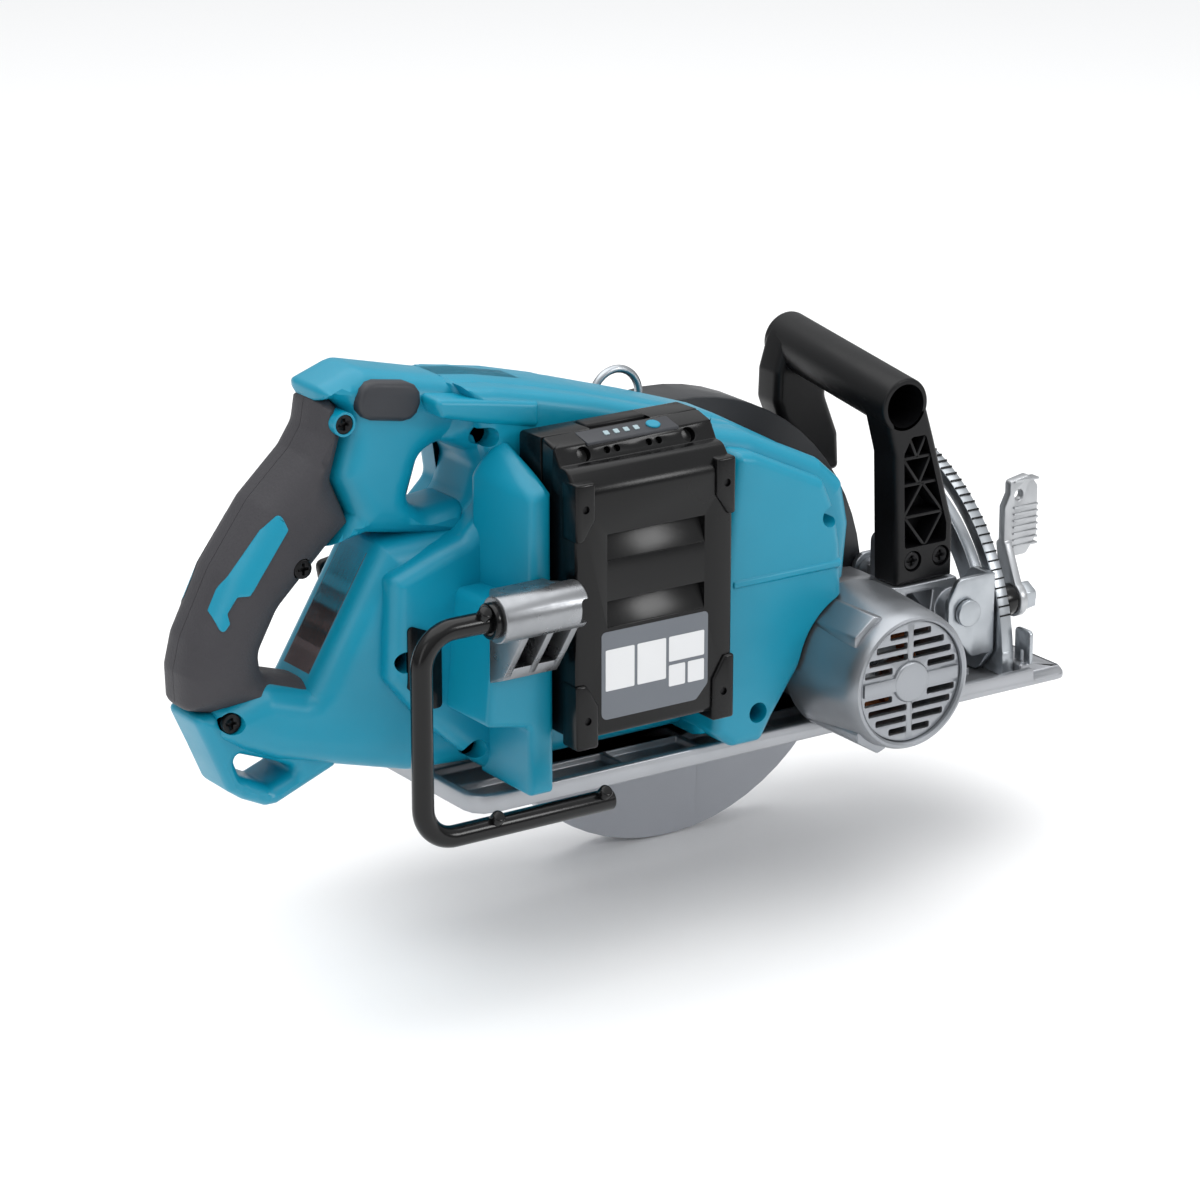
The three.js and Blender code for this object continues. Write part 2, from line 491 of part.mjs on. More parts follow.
function stator() {
  const core = ringY(M.x, M.z, STATOR.inner, STATOR.outer, STATOR.y0 + 5, STATOR.y1 - 5);
  const coils = Array.from({ length: 6 }, (_, i) => {
    const a = (i * Math.PI) / 3;
    return rodY(M.x + 19.6 * Math.cos(a), M.z + 19.6 * Math.sin(a), 3.6, STATOR.y0, STATOR.y1, 8);
  });
  return join(core, ...coils);
}
piece('stator', stator(), COPPER);
piece('motor_bearing', ringY(M.x, M.z, 4 + GAP, 8 - GAP, -85.5, -79, 16), STEEL);
piece('fan', join(
  ringY(M.x, M.z, 4 + GAP, 7, -20, -11, 16), ringY(M.x, M.z, 6, 21.5, -12.5, -11),
  ...Array.from({ length: 9 }, (_, i) => {
    const blade = new THREE.BoxGeometry(15, 7, 1.2).translate(14, -16, 0).rotateY((i * 2 * Math.PI) / 9);
    return solid(blade.translate(M.x, 0, M.z));
  }),
), look('#2a2c2e', 0.5));

// ---- gear train --------------------------------------------------------------------------------
const centreDistance = Math.hypot(M.x - SPINDLE.x, M.z - SPINDLE.z);
const meshAngle = Math.atan2(M.z - SPINDLE.z, M.x - SPINDLE.x);
const module_ = (2 * centreDistance) / (GEAR.pinionTeeth + GEAR.wheelTeeth);

// Straight-flanked stub teeth with backlash, as an outline in the X-Z plane.
function gearOutline(teeth, cx, cz, phase) {
  const pitch = (module_ * teeth) / 2;
  const tip = pitch + GEAR.addendum * module_;
  const root = pitch - GEAR.dedendum * module_;
  const step = (2 * Math.PI) / teeth;
  const widths = [[root, 0.36], [pitch, 0.215], [tip, 0.1]];
  const points = [];
  for (let i = 0; i < teeth; i += 1) {
    const at = phase + i * step;
    widths.forEach(([r, w]) => points.push([cx + r * Math.cos(at - w * step), cz + r * Math.sin(at - w * step)]));
    [...widths].reverse().forEach(([r, w]) =>
      points.push([cx + r * Math.cos(at + w * step), cz + r * Math.sin(at + w * step)]));
  }
  return points;
}
const wheelPhase = meshAngle;
const pinionPhase = meshAngle + Math.PI + Math.PI / GEAR.pinionTeeth;
piece('rotor_shaft', join(
  turnedY([
    [0, -86], [4, -86], [4, -64], [14.6, -64], [14.6, -26], [4, -26], [4, 33], [3.2, 33], [3.2, 46], [0, 46],
  ], M.x, M.z, 16),
  slabY(gearOutline(GEAR.pinionTeeth, M.x, M.z, pinionPhase), GEAR.y0 - 1.5, GEAR.y1 + 1),
), STEEL);
piece('drive_gear', cut(
  join(slabY(gearOutline(GEAR.wheelTeeth, SPINDLE.x, SPINDLE.z, wheelPhase), GEAR.y0, GEAR.y1)),
  rodY(SPINDLE.x, SPINDLE.z, SPINDLE.radius + GAP, 0, 60, 18),
), STEEL);
piece('spindle', turnedY([
  [0, 25.5], [5, 25.5], [5, 34.5], [SPINDLE.radius, 34.5], [SPINDLE.radius, 59.5], [4, 59.5], [4, 60.2],
  [0, 60.2],
], SPINDLE.x, SPINDLE.z, 18), STEEL);
piece('spindle_bearing', ringY(SPINDLE.x, SPINDLE.z, SPINDLE.radius + GAP, BOSS.bearingRadius - GAP, 47.2, 55,
  28), STEEL);
const HANDLE_SCREWS = [[86, 61], [102, 61]];
const LOCK = { x: 16, y: 22, radius: 6, top: 69 };

function gearHousing() {
  const s = SPINDLE;
  const outer = join(
    rodY(M.x, M.z, M.innerRadius, -13, 2, 36),
    slabY([[-14, 14, 8], [16, 11], [40, 13, 12], [50, 37, 14], [38, 60, 10], [8, 60, 12], [-16, 40, 10]], 1, 33),
    rodY(s.x, s.z, 26.5, 30, 46, 36),
    rodY(M.x, M.z, 15, 30, 46, 20),
    slabY([[20, 59], [64, 52], [80, 49.6], [112, 49.6, 2], [113, 40], [108, 27.8], [84, 25, 3], [40, 16]],
      -16, 8),
    slabY([[80, 45], [110, 45], [108, 70, 4], [80, 70, 4]], GAP, 8),
    slabY([[30, 55], [70, 47], [100, 44.5], [112, 40], [108, 27.8], [80, 24], [40, 18]], 8, 33),
    rodY(DEPTH.x, DEPTH.z, DEPTH.boss, BRACKET.nearY + BRACKET.sheet + GAP, BRACKET.farY - GAP, 20),
    rodZ(LOCK.x, LOCK.y, LOCK.radius + 3, 50, LOCK.top - 5),
  );
  return cut(
    outer,
    slabY([[61, 45.5], [76, 43.5], [76, 31], [61, 31]], -20, 40),
    slabY([[83, 45.5], [98, 45.5], [96, 33], [84, 31]], -20, 40),
    rodY(M.x, M.z, M.innerRadius + GAP, -17, -13.3, 32),
    rodY(M.x, M.z, 23.5, -14, -6, 18),
    rodY(M.x, M.z, 4 + 2 * GAP, -20, 36, 16),
    rodY(M.x, M.z, 8, 33.5, 60, 18),
    rodY(s.x, s.z, 24, 34.7, 60, 36),
    rodY(s.x, s.z, 9, 25, 36, 18),
    rodY(DEPTH.x, DEPTH.z, DEPTH.pin + PIN_GAP, -60, 60, 16),
    rodZ(LOCK.x, LOCK.y, LOCK.radius + GAP, LOCK.top - 16, 80),
    ...HANDLE_SCREWS.map(([x, z]) => rodY(x, z, SCREW.shank + 0.4, -1, 6, 12)),
  );
}

// Closes the gear case and carries the spindle's outer bearing; the lower guard turns on its boss.
function bearingBox() {
  const s = SPINDLE;
  return cut(
    join(rodY(s.x, s.z, BOSS.radius, 46, BOSS.endY, 32), rodY(s.x, s.z, 23.6, 44.2, 46 + GAP, 32),
      rodY(s.x, s.z, 26.5, 46 + GAP, UPPER.nearY - GAP, 36), rodY(M.x, M.z, 15, 46 + GAP, UPPER.nearY - GAP, 18)),
    rodY(s.x, s.z, SPINDLE.radius + GAP, 40, 60, 18),
    rodY(s.x, s.z, BOSS.bearingRadius, 46.9, 60, 32),
  );
}
piece('gear_housing', gearHousing(), CAST);
piece('bearing_box', bearingBox(), CAST);
piece('spindle_lock_button', rodZ(LOCK.x, LOCK.y, LOCK.radius, LOCK.top - 10, LOCK.top), look('#222325', 0.5));

// ---- blade -------------------------------------------------------------------------------------
function bladeOutline() {
  const points = [];
  const step = (2 * Math.PI) / BLADE.teeth;
  for (let i = 0; i < BLADE.teeth; i += 1) {
    const a = -i * step;
    [[0, BLADE.radius], [0.16, BLADE.radius - 2.2], [0.62, BLADE.radius - 5.5], [0.82, BLADE.radius - 12],
      [0.95, BLADE.radius - 9]].forEach(([t, r]) =>
      points.push([SPINDLE.x + r * Math.cos(a - t * step), SPINDLE.z + r * Math.sin(a - t * step)]));
  }
  return points;
}
const bladeNear = BLADE.y - BLADE.thickness / 2;
const bladeFar = BLADE.y + BLADE.thickness / 2;
piece('blade', cut(slabY(bladeOutline(), bladeNear, bladeFar),
  rodY(SPINDLE.x, SPINDLE.z, BLADE.bore + GAP, 50, 70, 20)), STEEL);
piece('inner_flange', cut(join(
  rodY(SPINDLE.x, SPINDLE.z, 20, 56.2, bladeNear - GAP, 32), rodY(SPINDLE.x, SPINDLE.z, BLADE.bore, 58, 61, 20),
), rodY(SPINDLE.x, SPINDLE.z, SPINDLE.radius + GAP, 50, 60.5, 18)), STEEL);
piece('outer_flange', cut(rodY(SPINDLE.x, SPINDLE.z, 20, bladeFar + GAP, 65, 32),
  rodY(SPINDLE.x, SPINDLE.z, 4.3, 50, 70, 16)), STEEL);
piece('blade_bolt', join(rodY(SPINDLE.x, SPINDLE.z, 4, 61.4, 66, 16), rodY(SPINDLE.x, SPINDLE.z, 7.5, 65 + GAP,
  70.5, 6)), STEEL);

// ---- guards ------------------------------------------------------------------------------------
function upperGuard() {
  const s = SPINDLE;
  const { outer, wall, nearY, farY, hubOpening, farEdge } = UPPER;
  const roof = slabY(sector(s.x, s.z, outer - wall, outer, -4, 184, 32), nearY, farY);
  const nearWall = slabY(sector(s.x, s.z, 1, outer - 1, -3, 183, 32), nearY, nearY + wall);
  const lobe = rodY(s.x, s.z, 26.5, nearY, nearY + wall, 36);
  const farWall = cut(
    slabY(sector(s.x, s.z, hubOpening, outer - 1, -3, 183, 32), farY - wall, farY),
    slabY(sector(s.x, s.z, LEVER.ring - LEVER.stem - 1.2, LEVER.ring + LEVER.stem + 1.2,
      LEVER.angle - LOWER.travel - 5, LEVER.angle + 5, 18), farY - wall - 1, farY + 1),
  );
  const lug = cut(slabY(inset([[-96, 34], [-96, 66], [-118, 61, 8], [-127.5, 50, 8], [-118, 40, 8]], 0),
    DEPTH.guideY1 + 0.6, nearY + wall), rodY(s.x, s.z, outer - wall, 0, nearY, 48));
  const trimmed = cut(join(roof, nearWall, farWall, lug), box(-far, far, nearY + wall + 1, far, -far, farEdge));
  return cut(join(trimmed, lobe), rodY(s.x, s.z, BOSS.radius + GAP, 40, nearY + wall + 1, 32),
    rodY(DEPTH_BOLT.x, DEPTH_BOLT.z, 3.2 + PIN_GAP, 30, 60, 16));
}
const DEPTH_BOLT = {
  x: DEPTH.x - DEPTH.armRadius * Math.cos(rad(DEPTH.boltAngle)),
  z: DEPTH.z + DEPTH.armRadius * Math.sin(rad(DEPTH.boltAngle)),
};
piece('upper_guard', upperGuard(), DARK);

function lowerGuard() {
  const s = SPINDLE;
  const { outer, wall, nearY, farY, hub, from, to } = LOWER;
  const rim = slabY(sector(s.x, s.z, outer - wall, outer, from, to, 32), nearY, farY);
  const near = slabY(sector(s.x, s.z, BOSS.radius + GAP, outer - wall / 2, from, to, 32), nearY, nearY + wall);
  const opposite = slabY(sector(s.x, s.z, UPPER.hubOpening, outer - wall / 2, from, to, 32), farY - wall, farY);
  const ear = slabY(sector(s.x, s.z, LEVER.ring - 12, LEVER.ring + 12, LEVER.angle - 360 - 6, from + 1, 6),
    farY - wall, farY);
  return join(rim, near, opposite, ear, ringY(s.x, s.z, BOSS.radius + GAP, hub, nearY, nearY + 2.5, 36));
}
piece('lower_guard', lowerGuard(), CAST);
const leverX = SPINDLE.x + LEVER.ring * Math.cos(rad(LEVER.angle));
const leverZ = SPINDLE.z + LEVER.ring * Math.sin(rad(LEVER.angle));
piece('guard_lever', join(rodY(leverX, leverZ, LEVER.stem, LOWER.farY + GAP, 78, 14),
  rodY(leverX, leverZ, LEVER.knob, UPPER.farY + 0.8, 86, 16)), NYLON);
piece('guard_spring', ringY(SPINDLE.x, SPINDLE.z, BOSS.radius + GAP, 21, UPPER.nearY + UPPER.wall + GAP,
  LOWER.nearY - GAP, 20), STEEL);

// ---- base --------------------------------------------------------------------------------------
function basePlate() {
  const b = BASE;
  const floor = slabZ([[b.rear, b.near, b.corner], [b.front - 4, b.near, 8], [b.front, b.near + 8, 6],
    [b.front, b.far, 6], [b.rear, b.far, b.corner]], 0, b.floor);
  const rim = cut(
    slabZ([[b.rear, b.near, b.corner], [b.noseFrom + 2, b.near], [b.noseFrom + 2, b.slotNear],
      [b.rear, b.slotNear]], b.floor - 1, b.rim),
    slabZ([[b.rear + b.rimWall, b.near + b.rimWall, 6], [400, b.near + b.rimWall], [400, 100],
      [b.rear + b.rimWall, 100]], b.floor - 2, 16),
  );
  const nose = slabY([[b.noseFrom, 1], [b.noseFrom, b.rim], [b.noseFrom + 8, b.rim], [b.front - 1, 3.4],
    [b.front - 1, 1]], b.near + 8, b.far - 1);
  const ribs = [
    ...[-22, 0, 20].map((y) => box(b.rear + 2, 116, y, y + b.ribWall, 1, b.rim - 1.6)),
    ...[-128, -88, -48, -8, 32, 72].map((x) => box(x, x + b.ribWall, b.near + 2, 22, 1, b.rim - 1.6)),
    box(b.rear + 2, -136, 40, 42.5, 1, b.rim - 1.6),
    box(b.slotRear - 2, b.slotFront + 2, b.slotFar + 1, b.slotFar + 3.5, 1, b.floor + 1.5),
  ];
  const ear = join(box(-128, -123.5, 54, 68, 1, BEVEL.z), rodX(BEVEL.y, BEVEL.z, 7, -128, -123.5));
  return cut(
    join(floor, rim, nose, ear, ...ribs),
    box(b.slotRear, b.slotFront, b.slotNear, b.slotFar, -5, 16),
    rodX(BEVEL.y, BEVEL.z, BEVEL.pin + PIN_GAP, -140, -120),
    box(b.noseFrom + 4, b.noseFrom + 20, -1.2, 1.2, 6, 16),
  );
}
piece('base_plate', basePlate(), CAST);

// The bevel guide: a ring part round the bevel axis, with a window and a slot for the clamp bolt.
function bevelGuide() {
  const { y, z, radius, band, slotMid, slotHalf, boltAngle, range, guideX0, guideX1, topAngle } = BEVEL;
  const low = BASE.floor + GAP;
  const top = 180 - topAngle;
  const plate = join(
    slabX(sector(y, z, radius - band, radius, top, 180, 20), guideX0, guideX1),
    slabX([[y - radius, low], [69, low], [69, 14, 4], [y - radius + 14, 16, 4], [y - radius, 14]], guideX0, guideX1),
    slabX([[44, low + 2], [69, low + 2], [60, 79], [47, 79]], guideX0, guideX1),
  );
  return cut(
    plate,
    slabX(sector(y, z, slotMid - slotHalf, slotMid + slotHalf, 180 - boltAngle - range - 3, 180 - boltAngle + 3, 20),
      guideX0 - 1, guideX1 + 1),
    rodX(y, z, BEVEL.pin + PIN_GAP, guideX0 - 1, guideX1 + 1),
  );
}
piece('bevel_guide', bevelGuide(), ZINC);
piece('sight_plate', cut(slabX([[-39, 8.3], [-28, 8.3], [-28, 24, 2], [-39, 24, 2]], 137, 139),
  slabX([[-34.5, 7], [-32.5, 7], [-32.5, 14], [-34.5, 14]], 136, 140)), ZINC);

// ---- depth frame: front bracket, rear guide, pins and clamp ---------------------------------------
const CLAMP = {
  y: BEVEL.y - BEVEL.slotMid * Math.cos(rad(BEVEL.boltAngle)),
  z: BEVEL.z + BEVEL.slotMid * Math.sin(rad(BEVEL.boltAngle)),
  bolt: 3.5, spacerX: 140.7, leverX: 145,
};

function frontBracket() {
  const { x0, x1, nearY, sheet, farY } = BRACKET;
  const web = join(
    slabX([[nearY, 14, 3], [nearY, 52, 3], [-14, 52, 6], [2, 34, 8], [34, 22], [38, 46, 3], [50, 46, 3],
      [54, 16], [65, 14, 2], [65, 7], [58, 3.7], [-20, 3.7, 6]], x0, x1),
    rodX(BEVEL.y, BEVEL.z, BEVEL.boss, x0, x1),
  );
  const nearFlange = slabY([[98, 30, 6], [98, 42, 6], [104, 52, 4], [x1, 52], [x1, 14, 3], [112, 14, 3]],
    nearY, nearY + sheet);
  const farFlange = slabY([[99, 30, 6], [99, 42, 6], [104, 46, 4], [x1, 46], [x1, 12, 3], [114, 16, 3]],
    farY, farY + sheet);
  return cut(
    join(web, nearFlange, farFlange),
    rodX(BEVEL.y, BEVEL.z, BEVEL.pin + PIN_GAP, x0 - 1, x1 + 1),
    rodX(CLAMP.y, CLAMP.z, CLAMP.bolt + PIN_GAP, x0 - 1, x1 + 1),
    rodY(DEPTH.x, DEPTH.z, DEPTH.pin + PIN_GAP, -60, 60, 16),
  );
}
piece('front_bracket', frontBracket(), ZINC);

function depthGuide() {
  const { x, z, armRadius, armHalf, slotHalf, boltAngle, range, guideY0, guideY1 } = DEPTH;
  const low = BASE.floor + 0.6;
  const band = slabY(sector(x, z, armRadius - armHalf, armRadius + armHalf, 180 - boltAngle - range - 4, 189, 20),
    guideY0, guideY1);
  const slot = slabY(sector(x, z, armRadius - slotHalf, armRadius + slotHalf, 180 - boltAngle - range - 1.3,
    180 - boltAngle + 1.3, 18), guideY0 - 1, guideY1 + 1);
  const foot = join(
    slabX([[guideY0 + 1, low], [58, low], [65, 7], [65, 14, 2], [60, 17, 3], [guideY0 + 1, 32]], -122.5, -118.5),
    rodX(BEVEL.y, BEVEL.z, BEVEL.boss, -122.5, -118.5),
  );
  return cut(
    join(cut(band, slot), foot), box(-200, 0, 0, 100, -20, low),
    rodX(BEVEL.y, BEVEL.z, BEVEL.pin + PIN_GAP, -130, -110),
  );
}
piece('depth_guide', depthGuide(), ZINC);
piece('depth_pivot_pin', join(rodY(DEPTH.x, DEPTH.z, DEPTH.pin, BRACKET.nearY - GAP - 1, 47.4, 16),
  rodY(DEPTH.x, DEPTH.z, 6.3, BRACKET.nearY - 3, BRACKET.nearY - GAP, 18)), STEEL);
piece('bevel_pin_front', rodX(BEVEL.y, BEVEL.z, BEVEL.pin, 120.5, 133.5, 16), STEEL);
piece('bevel_pin_rear', rodX(BEVEL.y, BEVEL.z, BEVEL.pin, -129.5, -117.5, 16), STEEL);
piece('bevel_bolt', join(rodX(CLAMP.y, CLAMP.z, CLAMP.bolt, BRACKET.x0 - 2, 154, 16),
  rodX(CLAMP.y, CLAMP.z, 6, BRACKET.x0 - 2.4, BRACKET.x0 - GAP, 16)), STEEL);
const clampBore = rodX(CLAMP.y, CLAMP.z, CLAMP.bolt + PIN_GAP, 120, 160, 16);
piece('bevel_spacer', cut(rodX(CLAMP.y, CLAMP.z, 7.5, BEVEL.guideX1 + GAP, CLAMP.spacerX, 18), clampBore), STEEL);
piece('bevel_nut', cut(rodX(CLAMP.y, CLAMP.z, 7, CLAMP.leverX + GAP, CLAMP.leverX + 6.5, 6), clampBore), STEEL);

function bevelLever() {
  const { y, z, spacerX, leverX } = CLAMP;
  const x0 = spacerX + GAP;
  return cut(
    join(
      rodX(y, z, 8.5, x0, leverX, 20),
      slabX([[y - 7, z], [y + 7, z], [-7, 60, 2], [-14, 60, 2]], x0, leverX),
      slabY([[x0, 52], [154, 52, 3], [160, 60, 3], [160, 84, 3], [155, 90, 3], [x0 + 3, 88, 2], [x0 + 3, 82],
        [x0, 76]], -13.5, -9),
    ),
    clampBore, rodY(149, 81, 2.6, -20, 0, 16),
  );
}
piece('bevel_lever', bevelLever(), NYLON);

const depthBore = rodY(DEPTH_BOLT.x, DEPTH_BOLT.z, 3.2 + PIN_GAP, 30, 60, 16);
piece('depth_bolt', join(rodY(DEPTH_BOLT.x, DEPTH_BOLT.z, 3, 35, 52, 16),
  rodY(DEPTH_BOLT.x, DEPTH_BOLT.z, 6, UPPER.nearY + UPPER.wall + GAP, 54, 6)), STEEL);
piece('depth_lever', cut(join(
  rodY(DEPTH_BOLT.x, DEPTH_BOLT.z, 9, 35, DEPTH.guideY0 - GAP),
  slabY([[-121, 43.5], [-113, 56], [-180, 98, 3], [-193, 96, 3], [-191, 85, 3]], 36.5, 40.5),
), depthBore), NYLON);

// ---- front handle ----------------------------------------------------------------------------------
function frontHandle() {
  const h = FRONT_GRIP;
  const from = new THREE.Vector3(h.nearX, h.nearY, h.nearZ);
  const to = new THREE.Vector3(h.farX, h.farY, h.farZ);
  const along = to.clone().sub(from);
  const bar = (r, a, b) => {
    const length = along.length() * (b - a);
    const turn = new THREE.Quaternion().setFromUnitVectors(Y, along.clone().normalize());
    const mid = from.clone().addScaledVector(along, (a + b) / 2);
    return solid(new THREE.CylinderGeometry(r, r, length, 28).applyQuaternion(turn).translate(mid.x, mid.y, mid.z));
  };
  const tube = cut(bar(h.radius, -0.1, 1.1), box(-far, far, -far, h.nearY, -far, far),
    box(-far, far, h.farY, far, -far, far));
  const nearLeg = slabY([
    [67, 136], [80, 142], [92, 132], [97, 118, 6], [109, 76, 6], [109, 50 + GAP], [77, 50 + GAP], [75, 111, 8],
  ], h.nearY, 0);
  const panel = [[80, 108], [93, 112], [104, 76], [104, 66], [82, 66]];
  const centre = [90, 86];
  const mix = (from2, to2, t) => [from2[0] + (to2[0] - from2[0]) * t, from2[1] + (to2[1] - from2[1]) * t];
  const recess = panel.map((p, i) => {
    const q = panel[(i + 1) % panel.length];
    const middle = mix(p, q, 0.5);
    const corner = (c) => mix(mix(c, centre, 0.14), middle, 0.1);
    return slabY([corner(p), corner(q), mix(centre, middle, 0.16)], h.nearY - 1, h.nearY + 2);
  });
  const farLeg = slabY([
    [78, 142], [66, 138], [68, 118, 6], [73, 106], [70, 102], [90, 80], [108, 80, 3], [107, 98, 5], [99, 117, 5],
    [97, 144],
  ], 66, h.farY - 1);
  return cut(
    join(tube, nearLeg, farLeg),
    ...recess,
    bar(h.bore, -0.12, 0.62),
    rodY(SPINDLE.x, SPINDLE.z, UPPER.outer + GAP + 0.4, 0, 200, 48),
    ...HANDLE_SCREWS.map((at) => screwSeat(at, h.nearY)),
  );
}
piece('front_handle', frontHandle(), NYLON);
HANDLE_SCREWS.forEach((at, i) => piece(`handle_screw_${i + 1}`, screwAt(at, FRONT_GRIP.nearY), BLACK));

// ---- hanging hook ------------------------------------------------------------------------------------
function hookBracket() {
  const { y, z, barrel, barrelX0, barrelX1, rod } = HOOK;
  const face = POD_Y - GAP;
  const web = slabX([[face, 66, 2], [face, 104, 4], [y + 4, z + barrel - 1], [y - 6, z - 6], [face - 12, 74]],
    -170, -143);
  return cut(
    join(web, rodX(y, z, barrel, barrelX0, barrelX1, 20)),
    rodX(y, z, rod + PIN_GAP, barrelX0 - 1, barrelX1 + 1, 16),
    slabX([[face + 1, 78], [face + 1, 90], [face - 11, 88], [face - 7, 80]], -164, -158.5),
    slabX([[face + 1, 78], [face + 1, 90], [face - 11, 88], [face - 7, 80]], -154.5, -149),
  );
}
piece('hook_bracket', hookBracket(), ZINC);

class HookLine extends THREE.Curve {
  getPoint(t, target = new THREE.Vector3()) {
    const { y, z, barrelX1, dropX, lowZ, tipX, bend } = HOOK;
    const quarter = (Math.PI / 2) * bend;
    const legs = [barrelX1 - dropX - bend + 3, quarter, z - lowZ - 2 * bend, quarter, tipX - dropX - bend];
    let s = t * legs.reduce((a, b) => a + b, 0);
    let leg = 0;
    while (leg < 4 && s > legs[leg]) {
      s -= legs[leg];
      leg += 1;
    }
    const turn = s / bend;
    const at = [
      [barrelX1 + 3 - s, z],
      [dropX + bend - bend * Math.sin(turn), z - bend + bend * Math.cos(turn)],
      [dropX, z - bend - s],
      [dropX + bend - bend * Math.cos(turn), lowZ + bend - bend * Math.sin(turn)],
      [dropX + bend + s, lowZ],
    ][leg];
    return target.set(at[0], y, at[1]);
  }
}

function sweep(line, radius, sides, steps) {
  const shape = new THREE.Shape(disc(0, 0, radius, sides).map(([a, b]) => new THREE.Vector2(a, b)));
  return solid(new THREE.ExtrudeGeometry(shape, { extrudePath: line, steps, bevelEnabled: false }));
}
piece('hook_rod', join(sweep(new HookLine(), HOOK.rod, 8, 32),
  rodX(HOOK.y, HOOK.z, 6.5, HOOK.barrelX1 + GAP, HOOK.barrelX1 + 3, 16)), ZINC);

piece('lanyard_ring', solid(new THREE.TorusGeometry(RING.radius, RING.wire, 6, 20).rotateX(Math.PI / 2)
  .translate(RING.x, RING.y, RING.z + RING.radius)), ZINC);

export default saw;
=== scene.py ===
# %% [markdown]
# # A cordless circular saw with a rear handle
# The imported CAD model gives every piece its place. This script keeps the CAD pieces that already
# have the right shape and rounds their edges, and builds the moulded plastic, the grips, the
# battery and the motor again with finer forms. Shapes are written in millimetres, in the saw's own
# frame: X is the cutting direction, Y points to the blade, Z is up. The side at negative Y, which
# carries the battery and the motor, is called near, and the blade's side is called far.

# %% load the frame
import json
import math
import bmesh
import bpy
import numpy as np
from mathutils import Matrix, Vector
from mathutils.geometry import delaunay_2d_cdt

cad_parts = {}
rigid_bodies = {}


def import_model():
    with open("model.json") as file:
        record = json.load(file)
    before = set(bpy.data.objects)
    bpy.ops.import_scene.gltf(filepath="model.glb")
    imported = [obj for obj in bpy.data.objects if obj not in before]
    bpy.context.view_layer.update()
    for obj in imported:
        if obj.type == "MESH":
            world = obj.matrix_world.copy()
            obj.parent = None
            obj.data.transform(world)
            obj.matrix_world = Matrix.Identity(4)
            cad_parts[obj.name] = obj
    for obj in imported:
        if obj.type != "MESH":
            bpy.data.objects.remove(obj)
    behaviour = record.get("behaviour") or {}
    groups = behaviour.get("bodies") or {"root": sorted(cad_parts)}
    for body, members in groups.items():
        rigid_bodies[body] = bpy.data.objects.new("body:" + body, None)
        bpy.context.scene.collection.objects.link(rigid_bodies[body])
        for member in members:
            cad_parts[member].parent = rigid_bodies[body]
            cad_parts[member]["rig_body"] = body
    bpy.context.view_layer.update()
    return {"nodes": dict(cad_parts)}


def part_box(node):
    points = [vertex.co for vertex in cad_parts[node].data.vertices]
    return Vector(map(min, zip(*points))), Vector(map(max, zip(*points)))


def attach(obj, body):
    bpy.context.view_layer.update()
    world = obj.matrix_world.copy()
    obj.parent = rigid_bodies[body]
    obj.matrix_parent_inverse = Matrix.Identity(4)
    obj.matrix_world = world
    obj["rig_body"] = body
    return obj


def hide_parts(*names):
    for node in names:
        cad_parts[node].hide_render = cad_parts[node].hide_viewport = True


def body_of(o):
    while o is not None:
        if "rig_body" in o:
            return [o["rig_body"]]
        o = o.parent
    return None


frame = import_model()
MM = 0.001

# %% [markdown]
# ## Small tools for shapes
# Moulded parts are described by an outline whose corners carry their own radius, as on a drawing.
# Blender's curves could round the corners too, but plain points are easier to measure and to cut
# into rings later. One helper rounds the corners, and another gives the area of a loop, whose sign
# says which way round it runs.

# %% outlines
def rounded(points, steps=6):
    """Corner points (x, z, radius) become a polyline with arcs at the corners."""
    path = []
    for i, point in enumerate(points):
        here = np.array(point[:2], float)
        r = point[2] if len(point) > 2 else 0
        if not r:
            path.append(here)
            continue
        before = np.array(points[i - 1][:2], float) - here
        after = np.array(points[(i + 1) % len(points)][:2], float) - here
        la, lb = np.linalg.norm(before), np.linalg.norm(after)
        before, after = before / la, after / lb
        half = math.acos(np.clip(before @ after, -1, 1)) / 2
        if half > 1.55:  # a straight run needs no rounding
            path.append(here)
            continue
        reach = min(r / math.tan(half), 0.45 * la, 0.45 * lb)
        radius = reach * math.tan(half)
        middle = (before + after) / np.linalg.norm(before + after)
        centre = here + middle * radius / math.sin(half)
        start, end = here + before * reach - centre, here + after * reach - centre
        turn = math.atan2(start[0] * end[1] - start[1] * end[0], start @ end)
        for k in range(steps + 1):
            c, s = math.cos(turn * k / steps), math.sin(turn * k / steps)
            path.append(centre + [c * start[0] - s * start[1], s * start[0] + c * start[1]])
    return np.array(path)


def area_of(loop):
    x, z = loop[:, 0], loop[:, 1]
    return 0.5 * np.sum(x * np.roll(z, -1) - np.roll(x, -1) * z)


square = [(0, 0, 3), (10, 0, 3), (10, 10, 3), (0, 10, 3)]
print("a 10 mm square with 3 mm corners has an area of", round(area_of(rounded(square)), 1), "square mm")

# %% [markdown]
# A mesh is made from plain lists of points and faces. Edges sharper than 35 degrees stay crisp and
# all others are shaded smooth. Real edges are never quite sharp, so `soften` bevels them: it is the
# thin line of light along an edge that makes a shape look made. `carve` is a boolean, for wells,
# slots and bores. Both are applied at once, because the next step may need the new faces.

# %% meshes
CRISP = 35  # degrees


def make(name, verts, faces, smooth=CRISP):
    mesh = bpy.data.meshes.new(name)
    mesh.from_pydata([tuple(float(c) * MM for c in v) for v in verts], [], faces)
    mesh.validate()
    mesh.shade_smooth()
    mesh.set_sharp_from_angle(angle=math.radians(smooth))
    piece = bpy.data.objects.new(name, mesh)
    bpy.context.scene.collection.objects.link(piece)
    return piece


